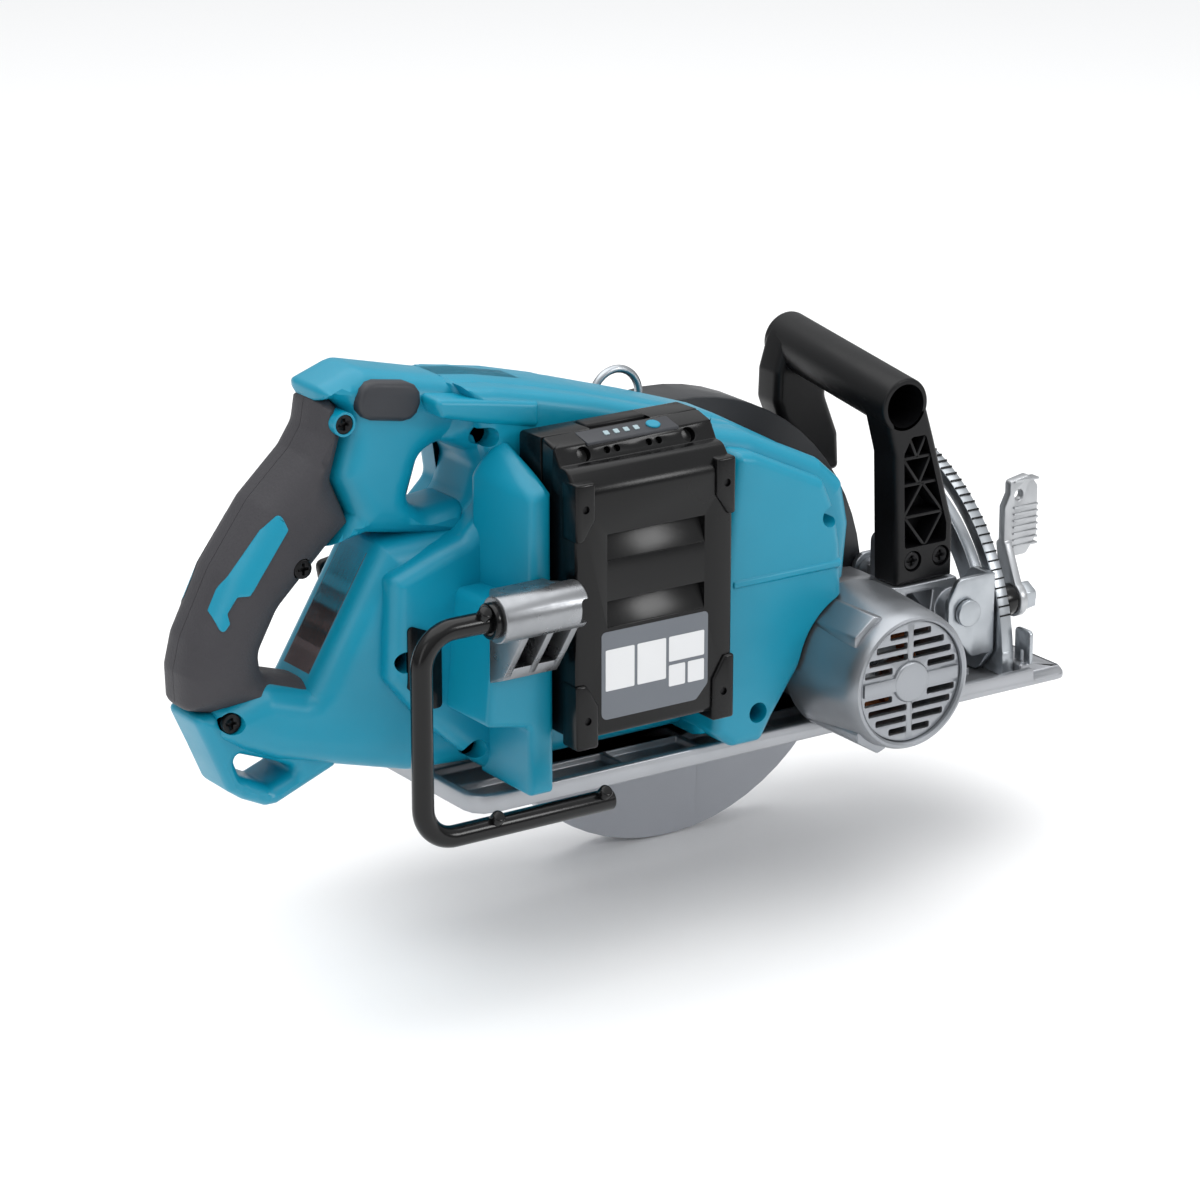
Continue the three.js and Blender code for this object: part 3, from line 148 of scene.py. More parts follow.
def settle(piece):
    """The modifiers of a piece become part of its mesh."""
    bpy.context.view_layer.update()
    graph = bpy.context.evaluated_depsgraph_get()
    ready = bpy.data.meshes.new_from_object(piece.evaluated_get(graph))
    piece.modifiers.clear()
    piece.data = ready
    ready.shade_smooth()
    ready.set_sharp_from_angle(angle=math.radians(CRISP))
    return piece


def soften(piece, width, segments=2, angle=40):
    """Edges sharper than angle get a bevel of width mm."""
    bevel = piece.modifiers.new("edges", "BEVEL")
    bevel.width, bevel.segments = width * MM, segments
    bevel.limit_method, bevel.angle_limit = "ANGLE", math.radians(angle)
    bevel.use_clamp_overlap = False
    bevel.miter_outer = "MITER_ARC"
    return settle(piece)


def carve(piece, *cutters, mode="DIFFERENCE"):
    """The cutters are taken out of the piece, or with INTERSECT only their inside is kept."""
    for cutter in cutters:
        step = piece.modifiers.new("cut", "BOOLEAN")
        step.operation, step.object, step.solver = mode, cutter, "EXACT"
    settle(piece)
    for cutter in cutters:
        bpy.data.objects.remove(cutter)
    return piece


def merge(name, *pieces):
    """Several meshes become one piece with one name."""
    whole = bmesh.new()
    for piece in pieces:
        whole.from_mesh(piece.data)
    mesh = bpy.data.meshes.new(name)
    whole.to_mesh(mesh)
    whole.free()
    for piece in pieces:
        bpy.data.objects.remove(piece)
    mesh.shade_smooth()
    mesh.set_sharp_from_angle(angle=math.radians(CRISP))
    made = bpy.data.objects.new(name, mesh)
    bpy.context.scene.collection.objects.link(made)
    return made


# A pair of numbers in an outline and one along its axis become a point in X, Y, Z.
PLACE = {"Y": lambda p, q, t: (p, t, q), "X": lambda p, q, t: (t, p, q), "Z": lambda p, q, t: (p, q, t)}


def prism(name, outline, lo, hi, axis="Y"):
    """An outline pushed along one axis. axis Y takes (x, z), X takes (y, z), Z takes (x, y)."""
    loop = rounded(outline)
    if area_of(loop) < 0:
        loop = loop[::-1]
    n = len(loop)
    verts = [PLACE[axis](p, q, t) for t in (lo, hi) for p, q in loop]
    walls = [[i, (i + 1) % n, n + (i + 1) % n, n + i] for i in range(n)]
    faces = walls + [list(range(n))[::-1], list(range(n, 2 * n))]
    if axis == "Y":
        faces = [f[::-1] for f in faces]
    return make(name, verts, faces)


def turned(name, profile, cx, cz, sides=96):
    """A closed profile of (radius, y) turned about a line along Y."""
    verts, n = [], len(profile)
    for i in range(sides):
        a = math.radians(360 * i / sides)
        verts += [(cx + r * math.cos(a), y, cz + r * math.sin(a)) for r, y in profile]
    faces = []
    for i in range(sides):
        j = (i + 1) % sides
        faces += [[i * n + k, i * n + (k + 1) % n, j * n + (k + 1) % n, j * n + k] for k in range(n)]
    piece = make(name, verts, faces)
    whole = bmesh.new()
    whole.from_mesh(piece.data)
    bmesh.ops.remove_doubles(whole, verts=whole.verts, dist=1e-7)
    bmesh.ops.recalc_face_normals(whole, faces=whole.faces)
    whole.to_mesh(piece.data)
    whole.free()
    piece.data.shade_smooth()
    piece.data.set_sharp_from_angle(angle=math.radians(CRISP))
    return piece


def rod(name, start, end, radius, sides=48):
    """A round bar between two points."""
    a, b = Vector(start), Vector(end)
    turn = (b - a).to_track_quat("Z", "Y")
    verts, faces = [], []
    for t in (a, b):
        verts += [t + turn @ Vector((radius * math.cos(2 * math.pi * i / sides),
                                     radius * math.sin(2 * math.pi * i / sides), 0)) for i in range(sides)]
    faces = [[i, (i + 1) % sides, sides + (i + 1) % sides, sides + i] for i in range(sides)]
    faces += [list(range(sides))[::-1], list(range(sides, 2 * sides))]
    return make(name, verts, faces)


print("tools: make, soften, carve, merge, prism, turned, rod")

# %% [markdown]
# ## A cushion-shaped moulding from a flat outline
# Handles and housings are nearly flat seen from the side, with a generous radius towards every
# edge. A bevel that wide breaks down at tight corners, so the surface is worked out instead: the
# distance of each point to the nearest edge gives its height, as in a quarter circle, and any
# outline, with holes too, gets an even radius. Rings of points follow the edge where the surface
# curves most, a plain grid fills the middle, and a Delaunay triangulation joins them.

# %% pillow mouldings
def spaced(loop, step):
    path = []
    for a, b in zip(loop, np.roll(loop, -1, 0)):
        count = max(1, int(math.ceil(np.linalg.norm(b - a) / step)))
        path += [a + (b - a) * k / count for k in range(count)]
    return np.array(path)


def edge_distance(points, a, b):
    best = np.full(len(points), 1e9)
    for p, q in zip(a, b):
        d = q - p
        t = np.clip((points - p) @ d / (d @ d), 0, 1)
        best = np.minimum(best, np.linalg.norm(points - p - t[:, None] * d, axis=1))
    return best


def is_inside(points, a, b):
    crossing = np.zeros(len(points), int)
    for p, q in zip(a, b):
        low = (p[1] > points[:, 1]) != (q[1] > points[:, 1])
        with np.errstate(divide="ignore", invalid="ignore"):
            x = p[0] + (points[:, 1] - p[1]) / (q[1] - p[1]) * (q[0] - p[0])
        crossing += low & (points[:, 0] < x)
    return crossing % 2 == 1


def pillow(name, outline, face, back, radius, holes=(), grid=4.0, step=2.2, rings=6):
    """A moulding between the planes y=back and y=face, with its edges rounded towards face."""
    loops = []
    for i, o in enumerate([outline, *holes]):
        loop = spaced(rounded(o), step)
        if (area_of(loop) > 0) == (i > 0):
            loop = loop[::-1]
        loops.append(loop)
    a = np.concatenate(loops)
    b = np.concatenate([np.roll(loop, -1, 0) for loop in loops])
    points, edges, start = [], [], 0
    for loop in loops:
        n = len(loop)
        edges += [(start + i, start + (i + 1) % n) for i in range(n)]
        start += n
    points = [a]
    for k in range(1, rings + 1):
        d = radius * (1 - math.cos(math.pi / 2 * k / rings))
        for loop in loops:
            ahead = np.roll(loop, -1, 0) - np.roll(loop, 1, 0)
            ahead /= np.linalg.norm(ahead, axis=1)[:, None]
            ring = loop + d * np.stack([-ahead[:, 1], ahead[:, 0]], 1)
            keep = (edge_distance(ring, a, b) > 0.96 * d) & is_inside(ring, a, b)
            points.append(ring[keep])
    lo, hi = a.min(0), a.max(0)
    gx, gz = np.meshgrid(np.arange(lo[0], hi[0], grid), np.arange(lo[1], hi[1], grid))
    fill = np.stack([gx.ravel(), gz.ravel()], 1)
    fill = fill[is_inside(fill, a, b)]
    points.append(fill[edge_distance(fill, a, b) > radius + 0.4 * grid])
    every = np.concatenate(points)
    out = delaunay_2d_cdt([Vector(p) for p in every], edges, [], 0, 1e-4)
    flat = np.array([tuple(v) for v in out[0]])
    tris = np.array([f for f in out[2] if len(f) == 3])
    tris = tris[is_inside(flat[tris].mean(1), a, b)]
    away = edge_distance(flat, a, b)
    t = np.clip(away / radius, 0, 1)
    sign = 1 if back > face else -1
    y = face + sign * radius * (1 - np.sqrt(np.maximum(0, 1 - (1 - t) ** 2)))
    verts = [(p[0], h, p[1]) for p, h in zip(flat, y)]
    faces = [list(map(int, f)) for f in tris]
    rim = {}
    for f in faces:
        for i in range(3):
            e = (f[i], f[(i + 1) % 3])
            rim[e] = rim.get(e, 0) + 1
    for (i, j) in [e for e in rim if (e[1], e[0]) not in rim]:
        verts += [(flat[i][0], back, flat[i][1]), (flat[j][0], back, flat[j][1])]
        faces.append([i, len(verts) - 2, len(verts) - 1, j])
    if sign < 0:
        faces = [f[::-1] for f in faces]
    piece = make(name, verts, faces, 50)
    whole = bmesh.new()
    whole.from_mesh(piece.data)
    bmesh.ops.remove_doubles(whole, verts=whole.verts, dist=1e-6)
    whole.to_mesh(piece.data)
    whole.free()
    piece.data.shade_smooth()
    piece.data.set_sharp_from_angle(angle=math.radians(50))
    return piece


print("rings and a grid give a pillow its faces")

# %% [markdown]
# ## Finishes
# Each finish starts from the material of the real piece and how its surface was made. Three things
# vary over it, as on any real surface: the colour drifts slowly, the gloss drifts with it, and a
# fine grain moves the normals. All are procedural noise in the piece's own space, with scales in
# millimetres, so they follow a piece when it moves. Colours are sRGB hex values that one function
# turns to linear light, and one function adds a node with its settings and links.

# %% colour and node helpers
def linear(hexcode):
    rgb = [int(hexcode[i:i + 2], 16) / 255 for i in (1, 3, 5)]
    return tuple(c / 12.92 if c <= 0.04045 else ((c + 0.055) / 1.055) ** 2.4 for c in rgb) + (1.0,)


def add(tree, kind, inputs=(), **settings):
    made = tree.nodes.new(kind)
    for key, value in settings.items():
        setattr(made, key, value)
    for key, value in dict(inputs).items():
        if isinstance(value, bpy.types.NodeSocket):
            tree.links.new(value, made.inputs[key])
        else:
            made.inputs[key].default_value = value
    return made


def finish(name, colour, second, rough, spread, grain, depth, metallic=0.0, coarse=18.0, shine=0.5):
    """The colour drifts to second and the roughness by spread, over coarse mm. grain is the size of
    the surface's texture in mm, depth its height in mm, and shine the specular level of a plastic."""
    material = bpy.data.materials.new(name)
    material.use_nodes = True
    tree = material.node_tree
    shader = tree.nodes["Principled BSDF"]
    where = add(tree, "ShaderNodeTexCoord").outputs["Object"]
    slow = add(tree, "ShaderNodeTexNoise", {"Vector": where, "Scale": 1000 / coarse, "Detail": 4.0})
    fine = add(tree, "ShaderNodeTexNoise", {"Vector": where, "Scale": 1000 / grain, "Detail": 3.0,
                                            "Roughness": 0.6})
    # Sockets 6, 7 and 2 are A, B and Result of a mix of colours.
    tint = add(tree, "ShaderNodeMix", {"Factor": slow.outputs["Fac"], 6: linear(colour), 7: linear(second)},
               data_type="RGBA")
    tree.links.new(tint.outputs[2], shader.inputs["Base Color"])
    gloss = add(tree, "ShaderNodeMapRange", {"Value": slow.outputs["Fac"], "From Min": 0.3, "From Max": 0.7,
                                             "To Min": rough - spread, "To Max": rough + spread})
    tree.links.new(gloss.outputs[0], shader.inputs["Roughness"])
    bump = add(tree, "ShaderNodeBump", {"Height": fine.outputs["Fac"], "Distance": depth * MM,
                                        "Strength": 0.6})
    tree.links.new(bump.outputs[0], shader.inputs["Normal"])
    shader.inputs["Metallic"].default_value = metallic
    if not metallic:
        shader.inputs["IOR"].default_value = 1.5
        shader.inputs["Specular IOR Level"].default_value = shine
    return material


print("one finish is a Principled shader with two noises")

# %% [markdown]
# ### Plastics and rubbers
# The saw is mostly glass-filled nylon, which takes the satin texture of its spark-eroded mould. The
# grain is 0.5 mm or finer, the drift of colour is weak, and the roughness near 0.36 gives broad soft
# highlights. Black plastics are lifted by their reflections, so they get a lower specular level.

# %% plastics and rubbers
# Glass-filled nylon, moulded and dyed through: an even teal with a satin highlight.
TEAL = finish("moulded_teal_nylon", "#0089a6", "#00829e", 0.36, 0.04, 0.45, 0.05,
              shine=0.45)
# Thermoplastic rubber moulded over the nylon: charcoal, quite dull, with a coarse leather grain.
GRIP = finish("overmoulded_soft_rubber", "#3a393d", "#333236", 0.6, 0.05, 1.3, 0.35, coarse=30,
              shine=0.4)
# Firm moulded rubber on the throat: a little browner and duller than the grip.
PAD = finish("throat_pad_rubber", "#64595b", "#584e50", 0.8, 0.05, 0.8, 0.08, shine=0.3)
# Black glass-filled nylon, moulded: satin, almost without colour of its own.
NYLON = finish("black_moulded_nylon", "#0c0c0d", "#101012", 0.36, 0.05, 0.5, 0.05,
               shine=0.22)
# The battery's ABS blend comes from a polished mould: nearly gloss, so it mirrors the lamps.
SHELL = finish("glossy_black_abs", "#050506", "#070708", 0.24, 0.04, 0.9, 0.02, coarse=40,
               shine=0.26)
# Moulded acetal of the buttons: a flat dark grey that doesn't shine under the finger.
DULL = finish("grey_button_plastic", "#2f3136", "#2a2c31", 0.45, 0.04, 0.5, 0.06,
              shine=0.4)
# Polyester films, printed and left blank: smooth, with a soft even reflection.
LABEL = finish("blank_satin_label", "#d9dadb", "#d2d3d5", 0.42, 0.03, 1.0, 0.005, coarse=40)
LABEL_GREY = finish("slate_printed_film", "#63686f", "#5e636a", 0.38, 0.03, 1.0, 0.004,
                    coarse=40)
# Frosted polycarbonate over the charge lamps, which are off: a pale grey-blue.
LAMP_WINDOW = finish("frosted_lamp_window", "#9fb2b8", "#8fa5ab", 0.3, 0.03, 1.0, 0.01)
# Heat-shrunk vinyl round the cells: thin, smooth and green.
WRAP = finish("cell_shrink_wrap", "#3f7f63", "#397358", 0.35, 0.05, 2.0, 0.02, coarse=20)

# %% [markdown]
# ### Metals, paints and platings
# Bare and plated metal is fully metallic. A painted casting lies between: flakes in silver paint
# mirror like metal under a clear binder, so its metallic value is 0.8 to 0.9 and its roughness is
# higher. The pebble of the casting skin is about 1.5 mm wide and very shallow. Every metal keeps the
# default IOR.

# %% metals, paints and platings
# Die-cast aluminium under silver paint: bright, slightly pebbled, no hard mirror.
CAST = finish("silver_painted_diecasting", "#9c9fa3", "#92959a", 0.33, 0.05, 1.4, 0.06,
              metallic=0.85, coarse=25)
# The base is cast aluminium, blasted after casting: greyer and a little rougher.
SHEET = finish("blasted_aluminium_base", "#aaacb0", "#a0a2a6", 0.4, 0.05, 0.7, 0.04,
               metallic=0.8, coarse=35)
# Zinc-plated pressed steel: brighter, with faint cloudy passivation.
ZINC = finish("zinc_plated_steel", "#b4b8bc", "#a2a7ac", 0.34, 0.06, 2.5, 0.02, metallic=1.0,
              coarse=9)
# Ground tool steel of the blade, flanges and gears: a clean sharp reflection with a very fine grain.
STEEL = finish("ground_steel", "#a0a3a6", "#929598", 0.3, 0.06, 0.6, 0.02, metallic=1.0, coarse=14)
# Sheet steel under a pale satin paint: mostly paint, a little metal flake.
GUARD = finish("satin_painted_guard", "#b4b7bd", "#abaeb5", 0.42, 0.05, 1.0, 0.03,
               metallic=0.25,
               coarse=30)
# The upper guard's casting under dark grey paint: satin, with the casting's pebble showing through.
DARK = finish("dark_grey_painted_alloy", "#2b2d31", "#26282b", 0.36, 0.05, 1.2, 0.06,
              metallic=0.2, coarse=25)
# Baked black enamel on the hook: smooth and glossy, so each bend carries a thin bright line.
ENAMEL = finish("black_enamelled_steel", "#070708", "#0a0a0b", 0.2, 0.04, 2.0, 0.02,
                coarse=20,
                shine=0.3)
# Black oxide on the screws: dark metal with an oily, uneven gloss.
BLACKED = finish("black_oxide_steel", "#1c1c1e", "#151516", 0.33, 0.06, 0.6, 0.03,
                 metallic=0.7,
                 coarse=6)
# The hook's bracket is a bare die-casting: patchy grey with brighter worn places.
BARE_CAST = finish("hook_bracket_casting", "#9b9da0", "#85878a", 0.3, 0.06, 1.6, 0.05,
                   metallic=0.9, coarse=10)
# Zinc die-casting, tumbled smooth: warm grey, with soft edges and a fine ripple.
LEVER = finish("tumbled_zinc_lever", "#b9bbbd", "#a6a8ab", 0.36, 0.06, 1.2, 0.05,
               metallic=0.85,
               coarse=8)
# Enamelled copper wire of the stator, seen through the slots: orange-brown and glossy.
COPPER = finish("varnished_copper_windings", "#b06a3f", "#8d5230", 0.35, 0.06, 0.8, 0.1,
                metallic=0.9,
                coarse=3)

# %% [markdown]
# ## Placing pieces
# Every piece made here is given its finish, the body that it moves with and the CAD nodes that it
# stands for, in one call, so that no piece can be left behind when a joint moves. A CAD solid that
# already has the right form is copied instead: its triangles are joined to flat faces first,
# because a bevel needs real edges and not the seams between triangles.

# %% placing pieces
def dress(piece, finish_, body="housing", *nodes):
    piece.data.materials.clear()
    piece.data.materials.append(finish_)
    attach(piece, body)
    if nodes:
        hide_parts(*nodes)
    return piece


def from_cad(node, width, finish_, body="housing", segments=2, angle=40):
    """A copy of a CAD node with its flat faces joined again and its edges rounded."""
    source = frame["nodes"][node]
    whole = bmesh.new()
    whole.from_mesh(source.data)
    bmesh.ops.remove_doubles(whole, verts=whole.verts, dist=2e-6)
    bmesh.ops.dissolve_limit(whole, angle_limit=math.radians(1.0), verts=whole.verts, edges=whole.edges)
    mesh = bpy.data.meshes.new(node + "_fine")
    whole.to_mesh(mesh)
    whole.free()
    piece = bpy.data.objects.new(node + "_fine", mesh)
    bpy.context.scene.collection.objects.link(piece)
    soften(piece, width, segments, angle)
    return dress(piece, finish_, body, node)


# %% [markdown]
# ## The camera, the floor and the light
# The saw is seen from behind and from the battery side, a little from above, through a long lens.
# A pale floor runs on beyond the frame. One big lamp overhead and two smaller ones at the sides give
# broad highlights on the curved plastic, as in a light tent, and a dome that is darker near the
# horizon keeps some contrast on upright faces. The floor is white paper, a matt surface with only a
# faint fibre.

# %% camera, floor and lamps
VIEW_FROM, VIEW_ALONG = (-1.08815, -1.50730, 0.66485), (0.5305, 0.7880, -0.3123)  # metres
camera_data = bpy.data.cameras.new("camera")
camera_data.lens, camera_data.sensor_width = 132, 36
camera = bpy.data.objects.new("camera", camera_data)
camera.location = VIEW_FROM
camera.rotation_euler = Vector(VIEW_ALONG).to_track_quat("-Z", "Y").to_euler()
bpy.context.scene.collection.objects.link(camera)
bpy.context.scene.camera = camera
# The plain transform shows each colour as it was written, without a film curve.
bpy.context.scene.view_settings.view_transform = "Standard"

floor_mesh = bpy.data.meshes.new("studio_floor")
ground, far_off = -0.0745, 9  # metres: the floor lies just under the lowest point of the blade guard
corners = [(-far_off, -far_off), (far_off, -far_off), (far_off, far_off), (-far_off, far_off)]
floor_mesh.from_pydata([(x, y, ground) for x, y in corners], [], [(0, 1, 2, 3)])
studio_floor = bpy.data.objects.new("studio_floor", floor_mesh)
bpy.context.scene.collection.objects.link(studio_floor)
PAPER = finish("seamless_white_paper", "#fbfbfb", "#f9f9f9", 0.9, 0.02, 3.0, 0.02, coarse=400)
studio_floor.data.materials.append(PAPER)


def lamp(name, place, size, power, aim=(0, 0, 0.06)):
    """A soft box: place, size and aim in metres, power in watts."""
    data = bpy.data.lights.new(name, "AREA")
    data.shape, data.size, data.size_y, data.energy = "RECTANGLE", size[0], size[1], power
    light = bpy.data.objects.new(name, data)
    light.location = place
    light.rotation_euler = (Vector(aim) - Vector(place)).to_track_quat("-Z", "Y").to_euler()
    bpy.context.scene.collection.objects.link(light)


lamp("top_softbox", (-0.1, 0.1, 1.7), (2.4, 2.4), 27)
lamp("left_softbox", (-1.6, -0.9, 0.7), (0.5, 1.3), 3.5)
lamp("right_softbox", (1.0, -1.55, 0.9), (0.55, 0.5), 9, (-0.1, -0.08, 0.12))
world = bpy.data.worlds.new("studio")
bpy.context.scene.world = world
world.use_nodes = True
sky = world.node_tree
height = add(sky, "ShaderNodeSeparateXYZ",
             {0: add(sky, "ShaderNodeTexCoord").outputs["Generated"]}).outputs["Z"]
dome = add(sky, "ShaderNodeMapRange", {"Value": height, "From Min": 0.0, "From Max": 0.8, "To Min": 0.3,
                                       "To Max": 0.95})
sky.nodes["Background"].inputs["Color"].default_value = (0.98, 0.99, 1.0, 1)
sky.links.new(dome.outputs[0], sky.nodes["Background"].inputs["Strength"])
print("camera", tuple(round(c, 3) for c in camera.location), "lamps", len(bpy.data.lights))

# %% [markdown]
# ## The rear handle and the body
# Two nylon shells meet in the middle plane. The near one carries the battery in a bay between two
# columns. The outlines below are side views: the handle with its beam, the foot with its loop, the
# body, the thicker slab in the body's middle, the rubber grip and the strip set into it.

# %% outlines of the handle and the body
SOFT_GRIP = [(-219.5, 182.5, 3), (-221.5, 170.5, 8), (-227.5, 161.5, 8), (-247.5, 143, 20),
             (-266.5, 117, 20), (-280.5, 89.5, 14), (-284, 75.5, 10), (-283.5, 60, 4), (-273, 57),
             (-259, 55), (-240, 50), (-223, 45.5, 3), (-217, 55, 4), (-227, 63.5, 8), (-247.5, 70, 6),
             (-248.5, 80, 8), (-239.5, 96.5, 16), (-216.5, 118.5, 10), (-204.5, 128.5, 3),
             (-213, 148.5, 4), (-207.5, 167, 4), (-208, 178, 4), (-213, 182.5, 3)]
HANDLE = [(-219.5, 187.5, 4), (-201, 194, 10), (-160, 184), (-143, 181.5), (-119, 176), (-119, 150),
          (-150, 150, 6), (-162, 156.5, 8), (-172, 153, 10), (-179, 134, 8), (-171, 128, 6), (-150, 130, 4),
          (-150, 112), (-172, 117.5, 8), (-198, 122.5, 4), (-216, 119), (-206, 132), (-214, 149),
          (-208.5, 167), (-209, 178), (-213, 182), (-219, 182)]
FOOT = [(-281.5, 58, 3), (-273, 39, 8), (-266, 22.5, 6), (-259, 17.5, 4), (-248.5, 12.5, 4),
        (-243.5, 12.5, 4), (-214, 24), (-214, 52), (-245, 52), (-272, 58)]
FOOT_EYE = [(-264.5, 39.5, 3), (-260.5, 28.5, 4), (-246.5, 21, 3), (-233, 26, 2), (-245, 32, 4)]
BODY = [(-160, 184), (-143, 181.5), (-119, 176), (-94, 169.5), (-58, 158.5), (-34, 150.5), (-21, 146),
        (12, 128), (37, 112, 4), (38, 98, 6), (34, 80, 4), (-10, 80), (-16, 24), (-20, 12, 3), (-52, 13),
        (-150, 13), (-181, 15, 20), (-222, 26.5, 10), (-245, 33), (-262, 41), (-272, 48, 4), (-272, 60),
        (-250, 68), (-229, 61), (-194, 118.5, 3), (-160, 120), (-150, 131, 8), (-146, 144, 6),
        (-150, 151, 4), (-165, 158)]
SLAB = [(-140, 13.5, 2), (-40, 13.5), (-20, 13), (-16, 24), (-10, 80), (34, 80), (37.5, 98), (36, 110),
        (12, 126.5), (-21, 144.5), (-58, 157), (-94, 168), (-119, 174.5), (-143, 180), (-158, 182),
        (-147, 152, 6), (-143, 143, 6), (-147, 131, 6), (-160, 118.5), (-172, 115), (-196, 106, 5),
        (-198, 62, 6), (-180, 40, 8), (-150, 13.5, 3)]
INLAY = [(-241.5, 140), (-239, 133), (-257.5, 108), (-262.5, 108), (-267, 101.5), (-266.5, 97.5),
         (-270, 93), (-273, 104), (-271, 107.5), (-249.5, 133.5)]

print("outlines:", len(HANDLE) + len(FOOT) + len(BODY) + len(SLAB) + len(SOFT_GRIP) + len(INLAY), "corners")

# %% [markdown]
# Each shell is built up from pillows of different thickness, as a pattern maker stacks layers, and
# from one convex form for the rib with its sloping faces. Every layer is carved before the layers
# are joined, because a boolean on forms that pass through each other can turn a well into a knob.

# %% shells of the handle and the body
MOTOR_X, MOTOR_Z = 26.5, 37.2
BAY_LEFT, BAY_RIGHT = -137.6, -56.4


def hull_of(name, corners):
    """The convex body round a few corner points, for faces that slope both ways."""
    whole = bmesh.new()
    for corner in corners:
        whole.verts.new(tuple(c * MM for c in corner))
    bmesh.ops.convex_hull(whole, input=whole.verts)
    bmesh.ops.delete(whole, geom=[v for v in whole.verts if not v.link_faces], context="VERTS")
    bmesh.ops.dissolve_limit(whole, angle_limit=math.radians(4), verts=whole.verts, edges=whole.edges)
    mesh = bpy.data.meshes.new(name)
    whole.to_mesh(mesh)
    whole.free()
    made = bpy.data.objects.new(name, mesh)
    bpy.context.scene.collection.objects.link(made)
    return made


near = [pillow("handle", HANDLE, -18.6, 0, 11, grid=3),
        pillow("foot", FOOT, -15, 0, 6, holes=[FOOT_EYE], grid=3),
        pillow("body", BODY, -22, 0, 12), pillow("slab", SLAB, -30, -14, 7)]
REAR_BLOCK = [(-171, 46, 3), (-150, 42, 3), (-150, 11, 2), (-137.8, 11, 2), (-137.8, 98), (-166, 98, 4)]
RIB = [(-148, -61, 84), (-138, -61, 84), (-138, -61, 144), (-148, -61, 141), (-155, -24, 84),
       (-138, -24, 84), (-138, -24, 158), (-144, -30, 158), (-155, -24, 146)]
near += [pillow("rear_block", REAR_BLOCK, -62, -24, 3), soften(hull_of("rib", RIB), 3, 4, 12)]
FRONT_COLUMN = [(-42, 143, 4), (-31.4, 140.6), (5, 123.3, 6), (11.5, 108, 4), (14.5, 93, 4), (16, 64),
                (-4, 44), (-14, 30), (-21, 20, 3), (-27, 9.8, 4), (-42, 9.8, 4), (-52, 18, 4), (-52, 60)]
FRONT_ROOT = [(-50, 152), (-24, 145), (14, 127, 5), (26, 116, 5), (30, 96, 6), (27, 66), (-2, 56),
              (-14, 30), (-19, 18), (-28, 10), (-50, 12)]
near += [pillow("column", FRONT_COLUMN, -58, -28, 5), pillow("root", FRONT_ROOT, -46, -20, 9)]


def hollows():
    """The battery bay, the room for the motor and the screw wells, new for each moulding."""
    mouth = [(BAY_LEFT, 30, 2), (BAY_RIGHT, 30, 2), (BAY_RIGHT, 200), (BAY_LEFT, 200)]
    bay = prism("bay", mouth, -95, -32.8, "Y")
    room = rod("room", (MOTOR_X, -100, MOTOR_Z), (MOTOR_X, 10, MOTOR_Z), 35.2, 96)
    wells = [rod("well", (x, -70, z), (x, deep, z), 4.6) for x, z, deep in
             [(-211.3, 173, -3.2), (-190.7, 69.7, -14), (-232, 114.7, -3.2), (-267.1, 54.6, -3.2),
              (-148.3, 159.5, -18), (-156, 24, -20), (8, 106, -42), (-30, 24, -42)]]
    return bay, room, *wells


shell = merge("housing_near", *[carve(part, *hollows()) for part in near])
dress(shell, TEAL, "housing", "housing_right")
print("near shell:", len(shell.data.polygons), "faces")

FAR_SLAB = [(-140, 13.5, 2), (-54, 13.5), (-50, 60), (-38, 80), (-38, 110), (-44, 150), (-94, 168),
            (-119, 174.5), (-150, 180), (-150, 152, 6), (-147, 131, 6), (-160, 118.5), (-172, 115),
            (-190, 106, 5), (-190, 62, 6), (-176, 42, 8), (-150, 13.5, 3)]
far = [pillow("handle", HANDLE, 18.6, 0, 11), pillow("foot", FOOT, 15, 0, 6, holes=[FOOT_EYE]),
       pillow("body", BODY, 22, 0, 12, grid=5), pillow("slab", FAR_SLAB, 30, 14, 7, grid=5)]
far_shell = merge("housing_far", *far)
box_room = prism("box_room", [(-37, -20), (60, -20), (60, 95), (-18, 95), (-37, 60)], 12, 90, "Y")
carve(far_shell, box_room)  # room for the gear case
dress(far_shell, TEAL, "housing", "housing_left")
print("far shell:", len(far_shell.data.polygons), "faces")

# %% [markdown]
# The moulding carries a black rating plate, left blank, a thin ledge across the front column and a
# low raised field on the beam of the handle. Each is a thin separate form that sinks into the
# shell, which costs nothing and gives a clean edge all round.

# %% plate and ledges
PLATE = [(-190, 86, 2), (-173.5, 79, 1), (-173.5, 47, 3), (-178, 47, 2), (-190, 58, 2)]
plate = prism("blank_rating_plate", PLATE, -30.7, -29, "Y")
dress(soften(plate, 0.25), SHELL, "housing", "rating_plate")
ledge = hull_of("ledge", [(-44, -58.9, 85.5), (13.6, -58.9, 85.5), (13.2, -58.9, 83.5), (-44, -58.9, 83.5),
                          (-44, -56, 87.5), (13.6, -56, 87.5), (12, -56, 80), (-44, -56, 80)])
seam = pillow("seam", [(-176, 181, 3), (-146, 176, 2), (-124, 172, 2), (-124, 160, 3), (-150, 166, 3),
                       (-172, 172, 3)], -31.2, -18, 3, grid=3)
ledges = dress(merge("moulded_ledges", soften(ledge, 0.8, 3), seam), TEAL)
print("ledges:", len(ledges.data.polygons), "faces")

# %% [markdown]
# ## The soft grip
# The charcoal rubber is moulded round the handle: nearly round in section, with a leather grain.
# The teal strip lies flush in it and has to follow its curve, so the same pillow is made once more,
# 0.6 mm prouder, and cut to the strip's outline. The rubber leaves room for three screws, and the
# upper one sits in a teal ferrule.

